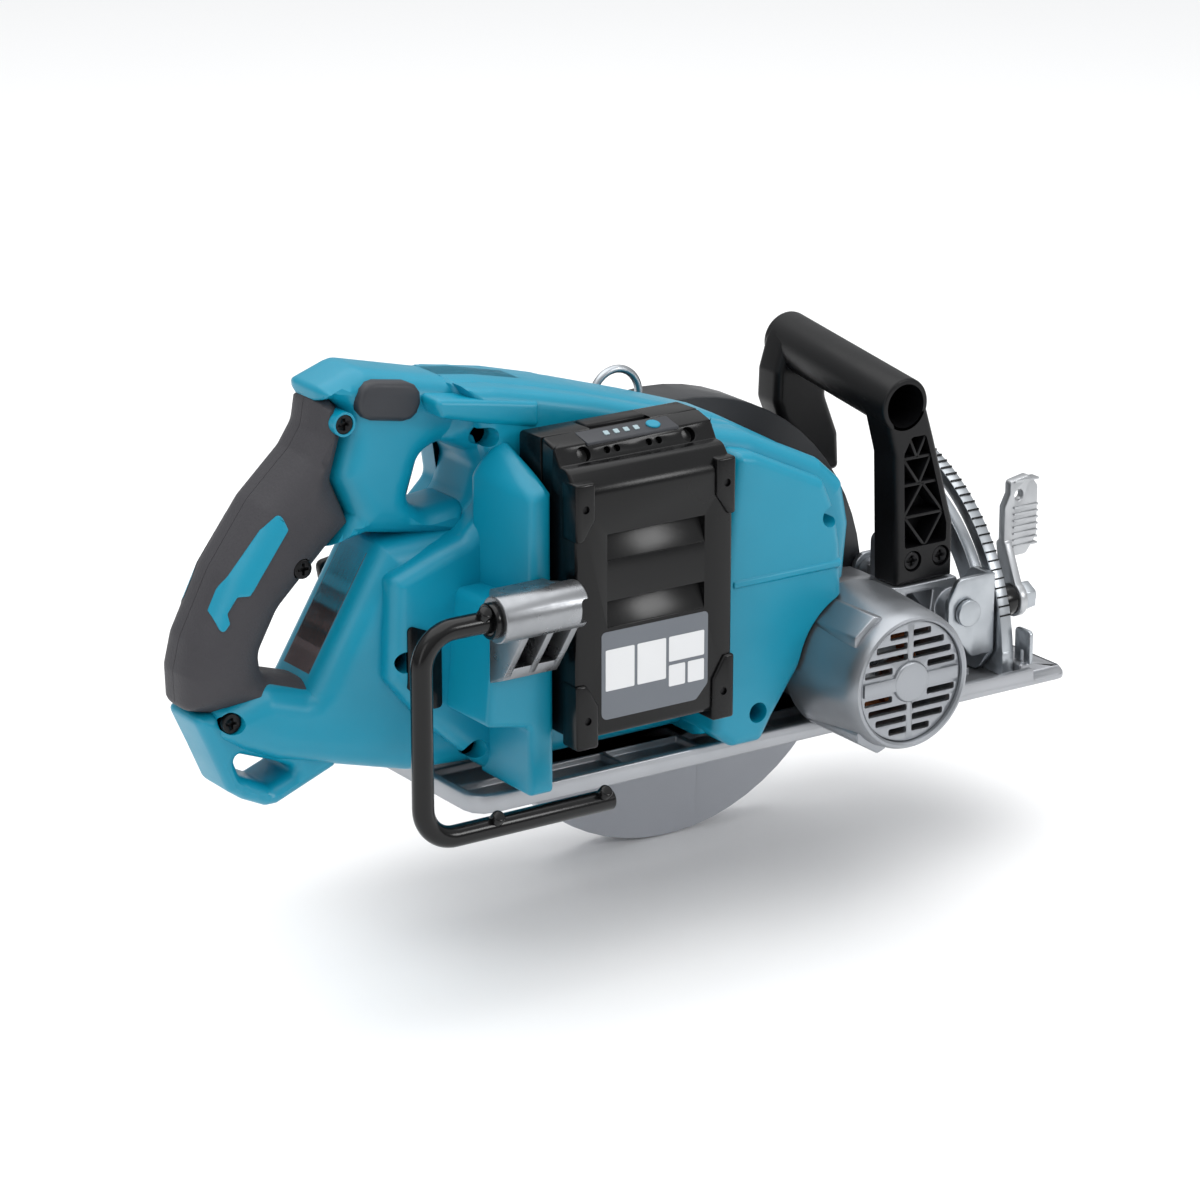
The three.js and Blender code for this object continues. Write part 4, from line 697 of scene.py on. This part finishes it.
# %% grip and inlay
for side, name in ((-1, "right"), (1, "left")):
    grip = pillow("soft_grip_" + name, SOFT_GRIP, side * 19.2, side * 0.1, 15.5, grid=3, rings=8)
    if side < 0:
        carve(grip, rod("well", (-211.3, -70, 173), (-211.3, -3, 173), 5.3),
              rod("well", (-232, -70, 114.7), (-232, -12, 114.7), 4.6),
              rod("well", (-267.1, -70, 54.6), (-267.1, -3, 54.6), 4.9))
    dress(grip, GRIP, "housing", "grip_overmould_" + name)
    strip = pillow("grip_strip_" + name, SOFT_GRIP, side * 19.8, side * 15, 15.5, grid=3, rings=8)
    carve(strip, prism("strip_form", [p + (1.5,) for p in INLAY], *sorted((side * 25, side * 10)), "Y"),
          mode="INTERSECT")
    dress(soften(strip, 0.35, 2, 60), TEAL)
ferrule = turned("screw_ferrules", [(4.2, -18.6), (5.2, -18.6), (5.2, -6), (4.2, -6)], -211.3, 173, 48)
dress(ferrule, TEAL)
from_cad("throat_pad", 0.8, PAD, segments=3)

# %% [markdown]
# ## The battery
# The pack is a glossy black shell. It could be modelled as a box with pushed-in faces, but its
# section is the same across its width, so a side view is pushed along X, which keeps the sloped top
# and the rounded edge true. Its face has two long sloped recesses for the fingers, cut as prisms.

# %% battery shell
PACK_LEFT, PACK_RIGHT = -136.4, -57.6
SIDE = [(-50.2, 37.2, 1), (-50.2, 163.4), (-60, 160.8, 1.2), (-64.5, 153.8, 1), (-69.5, 153.4, 7),
        (-76.2, 145, 8), (-76.2, 37.2, 3)]
cover = soften(prism("battery_face", SIDE, PACK_LEFT, PACK_RIGHT, "X"), 1.4, 3)
recesses = []
for z in (90.5, 119.5):
    slope = [(-79, z - 6), (-79, z + 6), (-71, z + 5.2, 1), (-75.9, z - 5.6)]
    recesses.append(prism("recess", slope, -121, -72, "X"))
holes = [rod("hole", (x, -70.5, 161.2), (x, -59.5, 155.2), r)
         for x, r in ((-112, 1.5), (-107, 1.5), (-91, 1.5), (-86, 1.5), (-123.5, 3.2), (-71, 3.2))]
carve(cover, *recesses, *holes)
soften(cover, 0.25, 2, 50)
dress(cover, SHELL, "battery", "battery_cover")
back = soften(prism("battery_back", [(-49.9, 37.2), (-33.2, 37.2, 2), (-33.2, 162.8, 3), (-49.9, 163.2)],
                    PACK_LEFT, PACK_RIGHT, "X"), 0.8)
carve(back, prism("well", [(-112.3, 152), (-81.7, 152), (-81.7, 170), (-112.3, 170)], -55, -37.7, "Y"))
dress(back, SHELL, "battery", "battery_case")
print("battery face:", len(cover.data.polygons), "faces")

# %% [markdown]
# Four corner bumpers take the knocks when the pack is dropped, each with a screw sunk in it. Each
# widens away from the corner by a slant, so one outline with two widths serves all four.

# %% bumpers and screws
SCREW_PLACES = ((-132.5, 138), (-61.5, 138), (-131.5, 46), (-62.5, 46))
bumpers = []
for x0, x1, z0, z1, lean in ((-137, -127.5, 124, 149, 8), (-66.5, -57, 124, 149, -8),
                             (-137, -126, 33.5, 62, 8), (-68, -57, 33.5, 62, -8)):
    low, high = (z0, z1) if z0 > 100 else (z1, z0)
    wide, slim = (x1, x1 - 6) if lean > 0 else (x0, x0 + 6)
    outer = x0 if lean > 0 else x1
    slant = low + (high - low) * 0.35
    form = [(outer, low), (slim, low), (wide, slant), (wide, high), (outer, high)]
    bumpers.append(soften(prism("bumper", form, -77.6, -66, "Y"), 1.2, 3))
sinks = [rod("hole", (x, -80, z), (x, -75.2, z), 1.7) for x, z in SCREW_PLACES]
dress(carve(merge("battery_bumpers", *bumpers), *sinks), SHELL, "battery")
heads = [rod("head", (x, -76.4, z), (x, -74, z), 1.6, 24) for x, z in SCREW_PLACES]
dress(merge("battery_screws", *heads), BLACKED, "battery")
print("bumpers:", len(bumpers), "screws:", len(SCREW_PLACES))

# %% [markdown]
# The label is a printed film, 0.35 mm proud of the shell so that its edge catches the light, with
# five blank fields. On the sloped top sits the charge gauge: four slanted lamp windows and a round
# button, made flat and then tilted by the slope of 13.2 degrees.

# %% label, gauge and latch
FILM = [(-124, 44.5, 3), (-76, 44.5, 3), (-70, 51, 3), (-70, 83, 2), (-124, 83, 2)]
dress(prism("battery_label", FILM, -76.35, -76, "Y"), LABEL_GREY, "battery")
panels = [prism("panel", [(a, c, 0.6), (b, c, 0.6), (b, d, 0.6), (a, d, 0.6)], -76.45, -76.3, "Y")
          for a, b, c, d in ((-122, -107.5, 57, 75), (-106, -91.5, 57, 75), (-90, -72, 64, 75),
                             (-90, -81.7, 53, 62.4), (-80.3, -72, 53, 62.4))]
dress(merge("battery_label_panels", *panels), LABEL, "battery")
gauge = soften(prism("charge_gauge", [(-51.8, 163.2), (-61.6, 160.9, 1), (-61.6, 159.5), (-51.8, 160)],
                     -121, -75, "X"), 0.4)
dress(gauge, DULL, "battery", "battery_gauge")
tilt = Matrix.Rotation(math.radians(13.2), 4, "X")
bars = []
for x in (-110, -105, -100, -95):
    slanted = [(x, -1.6, 0.4), (x + 2.4, -1.6, 0.4), (x + 3, 1.6, 0.4), (x + 0.6, 1.6, 0.4)]
    bars.append(prism("bar", slanted, 0, 0.35, "Z"))
bars = merge("gauge_bars", *bars)
bars.data.transform(Matrix.Translation((0, -56.7 * MM, 162.05 * MM)) @ tilt)
dress(bars, LAMP_WINDOW, "battery")
button = turned("gauge_button", [(0, -0.6), (2.8, -0.6), (3.1, -0.3), (3.1, 0.6), (0, 0.6)], -85, 0, 48)
upright = Matrix.Rotation(math.radians(-90), 4, "X")
button.data.transform(Matrix.Translation((0, -56.7 * MM, 162.2 * MM)) @ tilt @ upright)
dress(button, TEAL, "battery")
from_cad("battery_latch", 1.2, NYLON, "latch")
print("label fields:", len(panels))

# %% [markdown]
# ## The motor
# The can is a die-casting in the form of a slight cone with a rounded rim, so one profile is turned
# about the motor's axis. Two flat ridges run along it. Its end grille is a disc with a round boss in
# the middle, one broad bar across and thin slots above and below, each as long as the disc is wide
# at its height.

# %% motor
can = turned("motor_can", [(24.4, -13.6), (27, -13.6), (28.5, -40), (34, -47), (34, -54), (31.6, -85),
                           (31.3, -87.5), (30.6, -91.5), (29.6, -93.6), (28.4, -94), (27.4, -93.2),
                           (27.1, -88), (24.4, -84)],
             MOTOR_X, MOTOR_Z, 144)
ridges = []
for at in (128, 238):
    c, s = math.cos(math.radians(at)), math.sin(math.radians(at))
    corner = [(MOTOR_X + c * r - s * w, MOTOR_Z + s * r + c * w) for r, w in
              ((26, -9), (31, -9), (34.2, -6.5), (34.2, 6.5), (31, 9), (26, 9))]
    ridges.append(soften(prism("ridge", corner, -86.5, -50, "Y"), 0.8))
ridges = merge("ridges", *ridges)
carve(ridges, rod("bore", (MOTOR_X, -100, MOTOR_Z), (MOTOR_X, 0, MOTOR_Z), 25.5, 96))
can = merge("motor_can_cast", can, ridges)
dress(can, CAST, "housing", "motor_housing")
grille = turned("grille", [(0, -91.6), (27, -91.6), (27, -89), (0, -89)], MOTOR_X, MOTOR_Z, 96)
FIRST_SLOT, SLOT_PITCH, SLOT_HALF = 6.4, 5.1, 1.45
slots = []
for side in (-1, 1):
    for row in range(4):
        z = MOTOR_Z + side * (FIRST_SLOT + row * SLOT_PITCH)
        reach = math.sqrt(25.6 ** 2 - (abs(z - MOTOR_Z) + 1.4) ** 2)
        inner = 1.6 if row > 0 else 9.5  # the first row ends at the boss
        for hand in (-1, 1):
            x0, x1 = sorted((MOTOR_X + hand * inner, MOTOR_X + hand * reach))
            low, high = z - SLOT_HALF, z + SLOT_HALF
            slots.append(prism("slot", [(x0, low, 0.8), (x1, low, 0.8), (x1, high, 0.8), (x0, high, 0.8)],
                               -95, -85, "Y"))
carve(grille, *slots)
soften(grille, 0.25, 2, 50)
boss = soften(turned("boss", [(0, -93.4), (8.6, -93.4), (9.2, -92.6), (9.6, -89.5), (0, -89.5)], MOTOR_X,
                     MOTOR_Z, 72), 0.3)
bar = soften(prism("bar", [(1, 34.1), (52, 34.1), (52, 40.3), (1, 40.3)], -93.0, -90, "Y"), 0.5)
dress(merge("motor_grille", grille, boss, bar), CAST, "housing", "motor_louvre")
print("grille slots:", len(slots))

# %% [markdown]
# ## The hook and the ring
# The hook is one bent steel bar, enamelled black, with cross pins that stop it in its barrel. A
# bevelled curve would do, but it bunches up in tight bends, so a ring of points is carried along the
# bent line and turned with it. The bracket holds the bar in a barrel on three webs with two windows,
# and the same sweep makes the ring for a lanyard.

# %% hook and ring
def swept(name, path, y, radius, sides=32):
    """A round bar along an open line in the X-Z plane at one y."""
    path = np.array(path)
    ahead = np.gradient(path, axis=0)
    ahead /= np.linalg.norm(ahead, axis=1)[:, None]
    verts, faces = [], []
    for (x, z), (tx, tz) in zip(path, ahead):
        for i in range(sides):
            a = 2 * math.pi * i / sides
            c, s = math.cos(a) * radius, math.sin(a) * radius
            verts.append((x - tz * c, y + s, z + tx * c))
    for k in range(len(path) - 1):
        for i in range(sides):
            j = (i + 1) % sides
            faces.append([k * sides + i, k * sides + j, (k + 1) * sides + j, (k + 1) * sides + i])
    faces += [list(range(sides))[::-1], [(len(path) - 1) * sides + i for i in range(sides)]]
    piece = make(name, verts, faces)
    whole = bmesh.new()
    whole.from_mesh(piece.data)
    bmesh.ops.recalc_face_normals(whole, faces=whole.faces)
    whole.to_mesh(piece.data)
    whole.free()
    return piece


HOOK_Y, HOOK_Z, HOOK_FOOT = -85, 102, 13
bend = rounded([(-143, HOOK_Z), (-217, HOOK_Z, 15), (-217, HOOK_FOOT, 15), (-125, HOOK_FOOT)], 14)
bar = soften(swept("hook_bar", bend, HOOK_Y, 4.6), 0.8, 3, 60)
pins = [soften(rod("pin", (x, -83, z - 1), (x + 1, -89.5, z + 6.2), 3, 32), 1, 3) for x, z in
        ((-189.5, HOOK_Z), (-184, HOOK_FOOT), (-131, HOOK_FOOT))]
washer = soften(turned("washer", [(4.7, 0), (7.6, 0), (7.6, 3), (4.7, 3)], 0, 0, 48), 0.5)
ALONG_X = Matrix.Rotation(math.radians(-90), 4, "Z")  # turns a form made along Y
washer.data.transform(Matrix.Translation((-185.4 * MM, HOOK_Y * MM, HOOK_Z * MM)) @ ALONG_X)
dress(merge("hanging_hook", bar, washer, *pins), ENAMEL, "hook", "hook_rod")
barrel = turned("barrel", [(5, 0), (10, 0), (10, 40), (5, 40)], 0, 0, 96)
barrel.data.transform(Matrix.Translation((-182 * MM, HOOK_Y * MM, HOOK_Z * MM)) @ ALONG_X)
barrel = soften(barrel, 0.8, 3)
carve(barrel, prism("notch", [(-146, 96), (-130, 96), (-130, 106.5, 2), (-146, 106.5, 2)], -100, -86, "Y"))
WEB = [(-62.3, 66, 1), (-62.3, 106), (-79, 110), (-91, 97), (-73.5, 71.5, 2)]
webs = [soften(prism("web", WEB, x - 1.6, x + 1.6, "X"), 0.5) for x in (-168.6, -156.6, -144.8)]
foot_bar = soften(prism("foot_bar", [(-62.3, 66), (-62.3, 75), (-75.5, 75.5), (-72.5, 70)], -170, -143.4,
                        "X"), 0.5)
top_bar = soften(prism("top_bar", [(-62.3, 97), (-62.3, 107), (-80, 108), (-89, 98), (-86, 94)], -170,
                       -143.4, "X"), 0.5)
dress(merge("hook_bracket_cast", barrel, *webs, foot_bar, top_bar), BARE_CAST, "housing", "hook_bracket")
# Painted shade: a flat black plate sits behind the bracket's two windows and stands in for the shade in the
# deep bolt recesses; it is no real part of the bracket.
WINDOW_SHADE = [(-62.4, 70), (-62.4, 104), (-66, 104), (-64, 70)]
dress(soften(prism("bracket_window_shade", WINDOW_SHADE, -169, -144, "X"), 0.2), BLACKED)
low, high = (c * 1000 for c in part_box("lanyard_ring"))
centre = (low + high) / 2
RING_RADIUS = 12.2
loop = [(centre.x + RING_RADIUS * math.cos(a), centre.z + RING_RADIUS * math.sin(a))
        for a in np.linspace(0, 2 * math.pi, 73)]
dress(swept("lanyard_loop", loop, centre.y, 1.8, 20), ZINC, "ring", "lanyard_ring")
print("hook bend points:", len(bend))

# %% [markdown]
# ## The front handle
# A round tube held by two legs, moulded in one black nylon piece. A thick wall of nylon would sink
# as it cools, so the near leg is cored out to a truss of thin ribs, and the tube is bored from its
# near end. Both legs are pillows drawn from the side, and the far one is rounded on both faces.

# %% front handle
LEG = [(68, 137, 3), (80, 144), (92, 134, 3), (97, 118, 6), (109, 76, 6), (109, 50.3, 1), (77, 50.3, 1),
       (75, 111, 8)]
near_leg = pillow("near_leg", LEG, -16.1, 0, 2.5, grid=4)
POCKET = [(79.8, 112, 2), (84, 119.5, 2), (92, 119.5, 2), (95, 110, 2), (104.8, 76, 3), (104.8, 67.5, 1.5),
          (81.3, 67.5, 1.5)]
carve(near_leg, prism("pocket", POCKET, -18, -5, "Y"))


RIB_HALF = 0.7


def rib(x0, z0, x1, z1):
    run = np.array([x1 - x0, z1 - z0], float)
    nx, nz = -run[1] / np.hypot(*run) * RIB_HALF, run[0] / np.hypot(*run) * RIB_HALF
    return prism("rib", [(x0 - nx, z0 - nz), (x1 - nx, z1 - nz), (x1 + nx, z1 + nz), (x0 + nx, z0 + nz)],
                 -15.4, -4, "Y")


ribs = [rib(80, 82, 104, 82), rib(79.5, 97, 100, 97), rib(79.5, 109.5, 96, 109.5), rib(93, 67, 81.5, 82),
        rib(93, 67, 103, 82), rib(91, 97, 80.5, 82), rib(91, 97, 103, 82), rib(89, 97, 80, 109.5),
        rib(89, 97, 95.5, 109.5), rib(87.5, 109.5, 83, 119.5), rib(87.5, 109.5, 92.5, 119.5)]
a, b = Vector((80, -16, 134.6)), Vector((88, 84.9, 143.5))
grip_tube = rod("grip_tube", a - (b - a) * 0.1, b, 12.5, 96)
FAR_LEG = [(78, 152, 6), (74.5, 145, 6), (70.5, 132, 8), (70, 118, 8), (74.2, 107.8), (80, 101.3),
           (85, 95.4), (90, 88.8), (94.8, 80.2), (108, 80, 3), (107, 98, 5), (99.5, 117, 8),
           (100.5, 140, 8), (96, 152, 6)]
far_leg = merge("far_leg", pillow("far_leg", FAR_LEG, 84.8, 76, 4, grid=3),
                pillow("far_leg", FAR_LEG, 67.5, 76, 4, grid=3))
carve(grip_tube, prism("plane", [(40, 90), (130, 90), (130, 190), (40, 190)], -60, -16.1, "Y"))
soften(grip_tube, 1.2, 4, 60)
carve(near_leg, rod("bore", a - (b - a) * 0.12, a + (b - a) * 0.62, 10, 96))
carve(grip_tube, rod("bore", a - (b - a) * 0.12, a + (b - a) * 0.62, 10, 96))
seats = [rod("seat", (x, -20, 61), (x, -12.2, 61), 4.9) for x in (86, 102)]
carve(near_leg, *seats)
dress(merge("front_handle_moulded", near_leg, grip_tube, far_leg, *[soften(r, 0.25) for r in ribs]),
      NYLON, "housing", "front_handle")
print("truss ribs:", len(ribs))

# %% [markdown]
# ## Castings, sheet parts and controls that keep their CAD shape
# These pieces are already right in form, so each is copied with its edges rounded, by a width in
# millimetres that suits how it was made: a die-casting has a radius of about a millimetre, pressed
# sheet a small broken edge, a moulded button two millimetres where the finger rests.

# %% pieces that keep their form
# Each node has the width of its rounded edges and its finish.
KEPT = {
    "gear_housing": (0.7, CAST), "bearing_box": (0.7, CAST), "upper_guard": (0.6, DARK),
    "lower_guard": (0.3, GUARD), "base_plate": (0.8, SHEET), "front_bracket": (0.4, ZINC),
    "depth_guide": (0.4, ZINC),
    "bevel_guide": (0.5, ZINC), "sight_plate": (0.4, ZINC), "bevel_lever": (0.5, LEVER),
    "depth_lever": (0.8, NYLON),
    "bevel_nut": (0.5, ZINC), "bevel_bolt": (0.3, ZINC), "bevel_spacer": (0.3, ENAMEL),
    "depth_bolt": (0.3, ZINC),
    "depth_pivot_pin": (0.3, ZINC), "bevel_pin_front": (0.3, ZINC), "bevel_pin_rear": (0.3, ZINC),
    "handle_screw_1": (0.3, BLACKED), "handle_screw_2": (0.3, BLACKED),
    "housing_screw_beam": (0.3, BLACKED),
    "housing_screw_grip": (0.3, BLACKED), "housing_screw_rear": (0.3, BLACKED),
    "housing_screw_body": (0.3, BLACKED),
    "trigger": (1.6, DULL), "lock_off_button": (2.4, DULL), "guard_lever": (0.6, NYLON),
    "blade_bolt": (0.4, BLACKED), "outer_flange": (0.4, STEEL), "inner_flange": (0.4, STEEL),
    "spindle_lock_button": (0.6, NYLON),
}
print("kept pieces:", len(KEPT))

# %% [markdown]
# The thumb plate of the bevel lever has raised serrations, which stop before the hole, and the
# curved bevel guide has a graduation every 2.6 degrees. Both are rows of tiny prisms from one loop,
# which is the way a milling cutter makes them too.

# %% serrations and graduations
serrations = [soften(prism("serration", [(-14.2, z), (-8.6, z), (-8.6, z + 1.1), (-14.2, z + 1.1)], 146,
                           160.2, "X"), 0.3)
              for z in np.arange(56, 88, 3.1) if abs(z - 80.5) > 4]
dress(merge("lever_serrations", *serrations), LEVER, "bevel_clamp")
PIVOT_Y, PIVOT_Z, GUIDE_RADIUS, MARK_HEIGHT, MARK_WIDTH = 61, 8, 93.6, 0.9, 0.8
marks = []
for at in np.arange(14, 78, 2.6):
    c, s = math.cos(math.radians(at)), math.sin(math.radians(at))
    marks.append(prism("mark", [(PIVOT_Y - c * r + s * w, PIVOT_Z + s * r + c * w) for r, w in (
        (GUIDE_RADIUS, 0), (GUIDE_RADIUS + MARK_HEIGHT, 0), (GUIDE_RADIUS + MARK_HEIGHT, MARK_WIDTH),
        (GUIDE_RADIUS, MARK_WIDTH))], 126.2, 132.3, "X"))
dress(merge("bevel_graduations", *marks), BLACKED, body_of(frame["nodes"]["bevel_guide"])[0])
print("serrations:", len(serrations), "graduations:", len(marks))

# %% [markdown]
# Now the kept pieces are copied, and every screw head gets its cross recess, where a driver fits.

# %% copies and cross recesses
for node, (width, what) in KEPT.items():
    from_cad(node, width, what, body_of(frame["nodes"][node])[0], 3 if width > 1 else 2)
for node in [n for n in KEPT if "screw" in n]:
    low, high = (c * 1000 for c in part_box(node))
    x, z = (low.x + high.x) / 2, (low.z + high.z) / 2
    cross = [prism("cross", [(x - w, z - h, 0.3), (x + w, z - h, 0.3), (x + w, z + h, 0.3),
                             (x - w, z + h, 0.3)],
                   low.y - 1, low.y + 1.8, "Y") for w, h in ((0.7, 2.6), (2.6, 0.7))]
    carve(bpy.data.objects[node + "_fine"], *cross)
print("copied:", len(KEPT))

# %% [markdown]
# The inner pieces and the blade stay as the CAD solids, because only a little of them shows through
# the slots and under the base. They still get a real finish, in place of the flat CAD colour.

# %% carried over
INNER = {"blade": STEEL, "spindle": STEEL, "drive_gear": STEEL, "spindle_bearing": STEEL,
         "guard_spring": STEEL,
         "motor_bearing": STEEL, "rotor_shaft": STEEL, "fan": NYLON, "stator": COPPER, "controller": SHEET,
         "trigger_switch": NYLON, "battery_terminal": NYLON, "battery_cells": WRAP}
for node, what in INNER.items():
    mesh = frame["nodes"][node].data
    for i in range(max(1, len(mesh.materials))):
        frame["nodes"][node].material_slots[i].material = what
print("carried over:", len(INNER))
